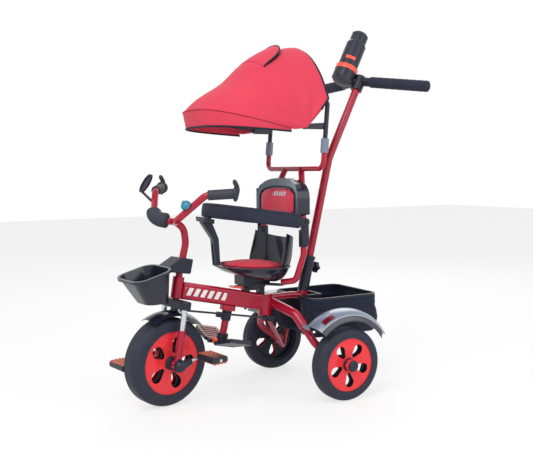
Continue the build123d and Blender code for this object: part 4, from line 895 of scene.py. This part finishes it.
def seatCushion():
    # |r/R|^n + |h/H|^n = 1, turned about the bowl's axis, then blown up as stuffed cloth.
    s = cushionSettings
    bowl = tilted(s["centre"], s["tilt"])
    sweepUp = np.linspace(-np.pi / 2, np.pi / 2, 41)[1:-1, None]
    turn = fullTurn(96)[None, :]
    middle, half = (s["low"] + s["high"]) / 2, (s["high"] - s["low"]) / 2
    radius = s["radius"] * np.cos(sweepUp) ** (2 / s["power"])
    height = middle + half * signedPower(np.sin(sweepUp), 2 / s["power"]) + 0 * turn
    points = bowl.at(np.stack([radius * np.cos(turn), radius * np.sin(turn), height], -1))
    cushion = addPiece("seatCushion", points, "cushionCloth", None, around=True, capped=True)
    puffed(cushion, s["voxel"], s["pressure"], s["cap"])
    modified(cushion, "SUBSURF", levels=1, render_levels=1)
    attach(cushion, "seat")
    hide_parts("seat_cushion")
    ring = np.linspace(0, 2 * np.pi, 97)
    edge = bowl.at(np.stack(
        [s["pipingRing"] * np.cos(ring), s["pipingRing"] * np.sin(ring), 0 * ring + s["pipingHeight"]], -1))
    tubePiece("seatCushionPiping", edge[:-1], pipingRadius, "redPiping", "seat", closed=True, count=10)


padSettings = {
    "hollow": 0.48,
    "half": 0.104,
    "middle": 0.590,
    "rise": 0.0415,
    "thickness": 0.0105,
    "clear": 0.0005,  # from the shell's front to the pad's back
    "innermost": 0.03,  # share of the outline at which the first loop of points lies
    "loops": 26,
    "voxel": 0.0045,
    "pressure": 4.0,
    "cap": 0.0040,
    "pipingAhead": 0.0024,
}


def hollowFront(y):
    # The shell's hollow front: a cylinder about an upright axis ahead of it.
    return shellHollow - np.sqrt(padSettings["hollow"] ** 2 - y ** 2)


def backPad():
    # An arched outline, |y/a|^n + |z/b|^n = 1, filled out from the shell's hollow front.
    s = padSettings
    turn = fullTurn(120)
    power = np.where(np.sin(turn) > 0, 2 / 3.0, 2 / 5.0)
    y = s["half"] * signedPower(np.cos(turn), power)
    z = s["rise"] * signedPower(np.sin(turn), power)
    grow = np.linspace(s["innermost"], 1, s["loops"])
    share = np.r_[grow, np.linspace(1, s["innermost"], s["loops"])[1:]][:, None]
    crown = s["thickness"] * (1 - grow ** 5).clip(0) ** 0.45
    depth = np.r_[crown + 0.0009, np.full(s["loops"] - 1, s["clear"])][:, None]
    across = share * y
    points = np.stack([hollowFront(across) + depth, across, s["middle"] + share * z], -1)
    pad = addPiece("backPad", points, "padCloth", None, around=True, capped=True)
    puffed(pad, s["voxel"], s["pressure"], s["cap"])
    co = readPoints(pad.data)
    co[:, 0] = np.maximum(co[:, 0], hollowFront(co[:, 1].clip(-0.12, 0.12)) + s["clear"])
    pad.data.vertices.foreach_set("co", co.ravel())
    modified(pad, "SUBSURF", levels=1, render_levels=1)
    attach(pad, "seat")
    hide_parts("backrest_pad")
    edgeY, edgeZ = y * 1.022, s["middle"] + z * 1.05
    edge = np.stack([hollowFront(edgeY) + s["pipingAhead"], edgeY, edgeZ], -1)
    tubePiece(
        "backPadPiping", edge, pipingRadius, "piping", "seat", reference=(1, 0, 0), closed=True, count=10)


# ---- guard ring: a padded band on its two hinged tongues

ringSettings = {
    "half": 0.140,
    "straight": 0.112,
    "start": 0.0185,
    "band": 0.0432,
    "thickness": 0.0202,
    "power": 3.2,
    "seamLevel": 0.0166,
    "seamRadius": 0.0009,
    "tongueFrom": 0.1384,
    "tongueWall": 0.006,
    "tongueHalf": 0.012,
    "tongueReach": 0.026,
    "tongueHole": 0.0041,
    "tongueBevel": 0.0008,
}


def ringPad():
    s = ringSettings
    side = np.linspace(s["start"], s["straight"], 30)[:-1]
    bend = np.linspace(-np.pi / 2, np.pi / 2, 90)
    x = np.r_[side, s["straight"] + s["half"] * np.cos(bend), side[::-1]]
    y = np.r_[np.full(len(side), -s["half"]), s["half"] * np.sin(bend), np.full(len(side), s["half"])]
    route = ring.at(np.stack([x, y, 0 * x], -1))
    run = np.linspace(0, 1, len(route))[:, None]
    turn = fullTurn(48)[None, :]
    # The foam is a little fuller in some places than in others, and drawn in at both ends.
    full = 1 - 0.012 * np.sin(run * 31) * np.sin(turn * 2 + run * 9)
    full = full * (1 - 0.35 * np.exp(-run / 0.004) - 0.35 * np.exp(-(1 - run) / 0.004))
    across = s["thickness"] / 2 * signedPower(np.cos(turn), 2 / s["power"]) * full
    upward = s["band"] / 2 * signedPower(np.sin(turn), 2 / s["power"]) * full
    points = sweep(route, across, upward, reference=ring.up)
    pad = addPiece("guardPad", points, "foam", "guard", around=True, capped=True, replaced=["guard_ring"])
    # A sewn seam on the upper and lower edge of the outer face.
    outward = unit(route - ring.at((s["straight"], 0, 0)))
    flat = unit(outward - (outward @ ring.up)[:, None] * ring.up)
    shift = np.where((x < s["straight"])[:, None], np.sign(y)[:, None] * ring.left, flat)
    for name, way in (("A", 1), ("B", -1)):
        level = np.full((1, 1), way * s["seamLevel"])
        line = sweep(route, np.zeros((1, 1)), level, reference=ring.up)[:, 0]
        seam = line + shift * (s["thickness"] / 2 * 0.925)
        tubePiece(
            "guardSeam" + name, seam[3:-3], s["seamRadius"], "blackMatt", "guard", reference=ring.up, count=8)
    for name, way in sides:
        guardTongue(name, way)


def guardTongue(name, way):
    # A flat tongue with a round end and the pivot's hole through it.
    s = ringSettings
    angle = fullTurn(64)
    circular = np.stack([np.cos(angle), np.sin(angle)], -1)
    box = np.minimum(
        s["tongueReach"] / np.maximum(np.cos(angle), 1e-6),
        s["tongueHalf"] / np.maximum(np.abs(np.sin(angle)), 1e-6))
    ahead = np.cos(angle) > 0
    outline = np.where(ahead[:, None], box[:, None] * circular, s["tongueHalf"] * circular)
    hole, eased = s["tongueHole"] * circular, outline * 0.96
    inner, outer = s["tongueFrom"] + 0.0001, s["tongueFrom"] + s["tongueWall"]
    loops = [
        (hole, inner), (eased, inner), (outline, inner + s["tongueBevel"]),
        (outline, outer - s["tongueBevel"]), (eased, outer), (hole, outer), (hole, inner)]
    rows = np.stack([
        ring.at(np.stack([loop[:, 0], np.full(len(loop), way * place), loop[:, 1]], -1))
        for loop, place in loops])
    tongue = addPiece("guardTongue" + name, rows, "blackPlastic", None, around=True, sharp=35)
    faceOutwards(tongue)
    tongue.data.set_sharp_from_angle(angle=math.radians(35))
    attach(tongue, "guard")


# ---- foam on the push handle

handleSettings = {
    "hub": (-0.072, 0, 0.709),
    "sweep": 11.0,
    "radius": 0.0176,
    "from": (0.0425, 0.0845),  # where the left and the right foam begin, out from the hub
    "to": 0.252,
}
upperUp = unit(np.array([-0.072, 0, 0.278]))


def upperAt(points):
    # Places ahead, beside and along the upper bar, from the hub, in the push bar's frame.
    points = np.asarray(points, float)
    ahead = np.array([upperUp[2], 0, -upperUp[0]])
    return bar.at(
        np.array(handleSettings["hub"]) + points[..., :1] * ahead + points[..., 1:2] * np.array([0, 1, 0])
        + points[..., 2:] * upperUp)


def handleGrips():
    s = handleSettings
    angle = math.radians(s["sweep"])
    for name, way, start in (("Left", 1, s["from"][0]), ("Right", -1, s["from"][1])):
        along = np.r_[start, start + np.array([0.0003, 0.0012, 0.0028, 0.005]),
                      np.linspace(start + 0.01, s["to"] - 0.008, 40),
                      s["to"] - np.array([0.0042, 0.002, 0.0007, 0.0])]
        radius = np.full(len(along), s["radius"]) + 0.00025 * np.sin(along * 260)
        radius[:4] = s["radius"] * np.array([0.56, 0.80, 0.92, 0.985])
        radius[-4:] = s["radius"] * np.array([0.985, 0.93, 0.82, 0.66])
        turn = fullTurn(40)
        arm = np.array([-math.sin(angle), way * math.cos(angle), 0])
        flat = np.array([math.cos(angle), way * math.sin(angle), 0])
        ringPoints = np.cos(turn)[:, None] * flat + np.sin(turn)[:, None] * np.array([0, 0, 1])
        points = upperAt(along[:, None, None] * arm + radius[:, None, None] * ringPoints)
        grip = addPiece("handleGrip" + name, points, "foam", "push_bar", around=True, capped=True,
                        replaced=["handle_grips"], sharp=50)
        faceOutwards(grip)


# ---- handlebar: soft pad, grips and their horns

barSettings = {
    "joint": (0.036, 0, 0.406),
    "rise": (0.077, 0.056, 0.409),
    "bend": (0.038, 0.125, 0.491),
    "out": (-0.021, 0.180, 0.507),
    "padRadius": 0.0219,
    "gripRadius": 0.0140,
    "gripLength": 0.076,
    "ribPitch": 0.0052,
    "ribHeight": 0.0005,
    "flange": 0.0185,
    "horn": 0.0067,
    "padFrom": 0.023,  # the pad's start up the stem, its reach past the bend and its bend's radius
    "padPast": 0.030,
    "padBend": 0.035,
}


def bentRoute(points, radii, count=90):
    # Straight runs joined by arcs of the given radii, evenly spaced.
    points = np.asarray(points, float)
    made = [points[:1]]
    for before, corner, after, radius in zip(points, points[1:], points[2:], radii):
        first, second = unit(before - corner), unit(after - corner)
        half = np.arccos(np.clip(first @ second, -1, 1)) / 2
        middle = corner + unit(first + second) * radius / np.sin(half)
        start = corner + first * radius / np.tan(half) - middle
        end = corner + second * radius / np.tan(half) - middle
        share = np.linspace(0, 1, 24)[:, None]
        spread = np.arccos(np.clip(unit(start) @ unit(end), -1, 1))
        arc = (np.sin((1 - share) * spread) * start + np.sin(share * spread) * end) / np.sin(spread)
        made.append(middle + arc)
    return evenly(np.concatenate(made + [points[-1:]]), count)


def roundedEnds(count, radius, drawn, least):
    # Radii along a soft tube whose ends are rounded over.
    made = np.full(count, radius, float)
    edge = least + (1 - least) * np.sin(np.linspace(0, np.pi / 2, drawn))
    made[:drawn] *= edge
    made[-drawn:] *= edge[::-1]
    return made


def softTube(name, route, radii, finish, body, count=36, replaced=()):
    turn = fullTurn(count)[None, :]
    across, upward = radii[:, None] * np.cos(turn), radii[:, None] * np.sin(turn)
    points = sweep(route, across, upward, reference=fork.up * 0.2 + fork.forward)
    return addPiece(name, points, finish, body, around=True, capped=True, replaced=replaced, sharp=60)


def handlebarSoft():
    s = barSettings
    mirror = np.array([1, -1, 1])
    joint, rise, bend, out = (np.array(s[key]) for key in ("joint", "rise", "bend", "out"))
    start = joint + unit(rise * mirror - joint) * s["padFrom"]
    end = rise * mirror + unit(bend * mirror - rise * mirror) * s["padPast"]
    route = fork.at(bentRoute([start, rise * mirror, end], [s["padBend"]], 46))
    radii = roundedEnds(46, s["padRadius"], 5, 0.6) * (1 + 0.012 * np.sin(np.linspace(0, 9, 46)))
    pad = softTube("handlebarPad", route, radii, "foamSmooth", "steering", replaced=["handlebar_foam"])
    gripEnd, flange = s["gripLength"], s["flange"]
    middle = np.linspace(0.006, gripEnd - 0.002, 60)
    along = np.r_[-0.004, -0.0036, -0.0025, 0.0025, 0.003, 0.0034, middle, gripEnd - 0.0008, gripEnd]
    ribs = s["gripRadius"] + s["ribHeight"] * (np.sin(middle * 2 * np.pi / s["ribPitch"]) > 0)
    radii = np.r_[
        flange * 0.9, flange * 0.97, flange, flange, flange * 0.97, 0.0138, ribs,
        s["gripRadius"] * 0.97, s["gripRadius"] * 0.82]
    for name, way in sides:
        turnSide = np.array([1, way, 1])
        tip = out * turnSide
        inward = unit(bend * turnSide - tip)
        grip = softTube("grip" + name, fork.at(tip + inward * along[:, None]), radii, "rubber", "steering")
        horn = tip - inward * 0.002 + np.array([(0, 0, -0.022), (-0.005, 0, 0.014), (0.014, 0, 0.036)])
        route = fork.at(bentRoute(horn, [0.024], 34))
        softTube("gripHorn" + name, route, roundedEnds(34, s["horn"], 5, 0.45), "rubber", "steering", 24)


# ---- rear bin: a cloth tub that hangs from its wire

binSettings = {
    "front": 0.048,
    "rear": -0.197,
    "half": 0.120,
    "low": 0.1702,
    "high": 0.2838,
    "corner": 0.030,
    "notchHalf": 0.036,
    "notchRear": -0.0304,
    "wall": 0.0022,
    "bulge": 0.006,
    "drawnIn": 0.004,
}


def cornerLoop(corners, radii, step=0.004):
    # A closed outline through the corners with rounded turns, in even steps.
    corners = np.asarray(corners, float)
    parts = []
    for before, corner, after, radius in zip(np.roll(corners, 1, 0), corners, np.roll(corners, -1, 0), radii):
        first, second = unit(before - corner), unit(after - corner)
        share = np.linspace(0, 1, 12)[:, None]
        start, end = corner + first * radius, corner + second * radius
        parts.append(start * (1 - share) ** 2 + corner * 2 * share * (1 - share) * 0.83 + end * share ** 2
                     + (start + end) * share * (1 - share) * 0.17)
    return evenly(np.concatenate(parts + [parts[0][:1]]), step=step)


def binBody():
    s = binSettings
    f, r, h, n, e = s["front"], s["rear"], s["half"], s["notchHalf"], s["notchRear"]
    loop = cornerLoop(
        [(f, n), (f, h), (r, h), (r, -h), (f, -h), (f, -n), (e, -n), (e, n)],
        [0.012] + [s["corner"]] * 4 + [0.012, 0.006, 0.006])
    ahead = np.roll(loop, -1, 0) - np.roll(loop, 1, 0)
    outward = unit(np.stack([-ahead[:, 1], ahead[:, 0]], -1))
    if (outward * (loop - [(f + r) / 2, 0])).sum() < 0:
        outward = -outward
    around = fullTurn(len(loop))
    # Only the free walls bulge, not the notch for the bar's foot.
    free = np.clip((np.abs(loop[:, 1]) - n - 0.012) / 0.02, 0, 1)
    free = np.maximum(free, np.clip((-0.06 - loop[:, 0]) / 0.03, 0, 1))
    share = np.linspace(0, 1, 34)
    height = s["low"] + (s["high"] - s["low"]) * share
    belly = np.sin(np.pi * share) ** 0.8 * s["bulge"]
    lower = np.exp(-((share - 0.35) / 0.16) ** 2) * 0.004 - np.exp(-((share - 0.72) / 0.07) ** 2) * 0.003
    folds = 0.0013 * np.sin(around * 9 + 2.2 * np.sin(around * 2))[None, :] * np.sin(np.pi * share)[:, None]
    folds += 0.0009 * np.sin(around * 23 + share[:, None] * 5) * np.sin(np.pi * share)[:, None]
    out = free[None, :] * ((belly + lower)[:, None] + folds)
    # The walls draw in a little at the floor.
    foot = (1 - np.exp(-share / 0.035))[:, None] * s["drawnIn"] - s["drawnIn"]
    ground = np.broadcast_to(height[:, None], out.shape)
    outer = np.concatenate([loop[None] + outward[None] * (out + foot)[..., None], ground[..., None]], -1)
    inner = outer[::-1].copy()
    inner[..., :2] -= outward[None] * s["wall"]
    inner[-1, :, 2] += s["wall"]
    rim = (outer[-1] + inner[0]) / 2 + np.array([0, 0, 0.0002])
    points = np.concatenate([outer, rim[None], inner])
    rows, cols = points.shape[:2]
    faces = gridFaces(rows, cols, True).tolist()
    faces += [list(range(cols))[::-1], list(range((rows - 1) * cols, rows * cols))]
    mesh = bpy.data.meshes.new("binBody")
    mesh.from_pydata(points.reshape(-1, 3).tolist(), [], faces)
    made = bpy.data.objects.new("binBody", mesh)
    scene.collection.objects.link(made)
    faceOutwards(made)
    mesh.materials.append(finishes["binCloth"])
    mesh.polygons.foreach_set("use_smooth", [len(p.vertices) < 6 for p in mesh.polygons])
    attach(made, "frame")
    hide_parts("rear_basket")
    # Binding round the mouth, just under the wire.
    mouth = np.concatenate([loop + outward * 0.0012, np.full((len(loop), 1), s["high"] - 0.005)], -1)
    band = sweep(mouth, *rounded(0.0016, 0.0048, 3, 16), closed=True)
    binding = addPiece("binBinding", np.concatenate([band, band[:1]]), "piping", None, around=True)
    faceOutwards(binding)
    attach(binding, "frame")


# ---- trim

trimSettings = {
    "bottlePlace": (0.041, -0.036),
    "cupRadius": 0.0369,
    "reflectorAngles": (-56.0, -71.0),
    "reflectorPlane": 0.218,  # how far out the reflectors' levels are counted from
    "hoodBolt": (0.0995, 0.203, 0.2125),
    "crankAngle": 205.6,
    "crankArmOut": 0.069,  # from the wheel's middle to a crank arm, and to the cap at its root
    "crankCapOut": 0.0600,
}


def curvedPatch(name, place, axis, first, radius, levels, angles, finish, body, thickness=0.0012):
    # A strip of a turned surface: radius by level, between two angles from the first direction.
    axis, first = unit(np.asarray(axis, float)), np.asarray(first, float)
    first = unit(first - (first @ axis) * axis)
    second = np.cross(axis, first)
    turn = np.radians(np.linspace(angles[0], angles[1], 24))
    levels = np.asarray(levels, float)
    radius = np.broadcast_to(np.asarray(radius, float), levels.shape)
    ringPoints = np.cos(turn)[:, None] * first + np.sin(turn)[:, None] * second
    points = np.asarray(place) + levels[:, None, None] * axis + radius[:, None, None] * ringPoints
    made = addPiece(name, points, finish, None)
    modified(made, "SOLIDIFY", thickness=thickness, offset=0)
    settled(made)
    faceOutwards(made)
    made.data.set_sharp_from_angle(angle=math.radians(40))
    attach(made, body)


def bottleTrim():
    s = trimSettings
    x, y = s["bottlePlace"]
    axis = upperAt((0, 0, 1)) - upperAt((0, 0, 0))
    place = upperAt((x, y, 0))
    r = s["cupRadius"]
    turnedPiece("cupBand", place, axis, [
        (r + 0.0002, 0.0122), (r + 0.0009, 0.0126), (r + 0.0011, 0.014), (r + 0.0011, 0.0262),
        (r + 0.0009, 0.0276), (r + 0.0002, 0.028)], "orange", "push_bar", 64)
    turnedPiece("cupDome", place, axis, [
        (0.003, -0.0335), (0.010, -0.0331), (0.018, -0.0315), (0.025, -0.0287), (0.031, -0.0248),
        (0.0346, -0.0205), (0.0360, -0.0182), (0.0352, -0.0181), (0.003, -0.0181)],
        "darkGrey", "push_bar", 48)
    bottleUp = jointPlace("bottle_lift")[1]
    outward = np.array([0.8, 0.55, 0])
    levels = [0.048, 0.049, 0.0575, 0.0585]
    curvedPatch("bottleTab", place, bottleUp, outward, 0.0337, levels, (-10, 48), "orange", "bottle")
    turnedPiece("capBand", place, bottleUp, [
        (0.0282, 0.118), (0.0292, 0.1183), (0.0294, 0.119), (0.0294, 0.1215), (0.0292, 0.1222),
        (0.0282, 0.1225)], "darkGrey", "bottle", 48)


def wheelTrim():
    # Hub caps on the rear wheels; black sleeves over the crank beside the front hub.
    s = trimSettings
    for name, way in sides:
        side = name.lower()
        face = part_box("rear_cover_" + side)[1 if way > 0 else 0][1]
        turnedPiece("hubCap" + name, (0, face, rearAxle[2]), (0, way, 0), [
            (0.0165, 0.0002), (0.0165, 0.0035), (0.0155, 0.0048), (0.011, 0.0058), (0.010, 0.0052),
            (0.004, 0.0054)], "blackPlastic", "rear_wheel_" + side, 40)
    angle = math.radians(s["crankAngle"])
    for name, way in sides:
        arm = np.array([math.cos(angle), 0, -math.sin(angle)]) * way
        middle = np.array([0, way * s["crankArmOut"], 0])
        route = fork.at(middle + arm * np.linspace(-0.010, 0.036, 24)[:, None])
        radii = np.interp(
            np.linspace(0, 1, 24), [0, 0.12, 0.45, 0.93, 1], [0.0095, 0.0125, 0.0125, 0.0098, 0.0088])
        softTube("crankSleeve" + name, route, radii, "blackPlastic", "front_wheel", 28)
        cap = fork.at(np.array([0, way * s["crankCapOut"], 0]))
        turnedPiece("crankCap" + name, cap, fork.left * way, [
            (0.0180, 0.0), (0.0190, 0.001), (0.0185, 0.008), (0.0155, 0.0145), (0.0125, 0.0185),
            (0.006, 0.0205), (0.002, 0.0208)], "blackPlastic", "front_wheel", 40)


def fenderTrim():
    # A dark red reflector on each hood's outer shoulder and a bolt at its front.
    s = trimSettings
    across = np.array([0.006, 0.010, 0.016, 0.0215])
    radius = np.array([0.1604, 0.1587, 0.1564, 0.1540])
    for name, way in sides:
        curvedPatch(
            "hoodReflector" + name, (0, way * s["reflectorPlane"], rearAxle[2]), (0, 1, 0), (1, 0, 0), radius,
            across * way, s["reflectorAngles"], "reflector", "frame", 0.003)
        bolt = np.array(s["hoodBolt"]) * [1, way, 1]
        turnedPiece("hoodBolt" + name, bolt, (0.55, way * 0.55, 0.63), [
            (0.0045, -0.002), (0.0052, 0.0), (0.0048, 0.0022), (0.003, 0.003), (0.001, 0.0031)],
            "steel", "frame", 20)


def footrestTrim():
    # Orange button ahead of the footrest's hub.
    low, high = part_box("footrest_hub")
    face = (np.array(low) + np.array(high)) / 2
    turnedPiece("footrestButton", (high[0] - 0.001, 0, face[2] - 0.004), (0.98, 0, 0.21), [
        (0.0100, 0.0), (0.0108, 0.001), (0.0106, 0.006), (0.0085, 0.0085), (0.004, 0.0094), (0.001, 0.0095)],
        "orange", "footrest", 32)


makers = [
    seatCushion, backPad, ringPad, handleGrips, handlebarSoft, binBody, bottleTrim, wheelTrim, fenderTrim,
    footrestTrim,
]


setStage()
floor()
dressNodes()
print("stage and finishes set")
canopy()
print("canopy made")
for make in makers:
    make()
    print("made", make.__name__)
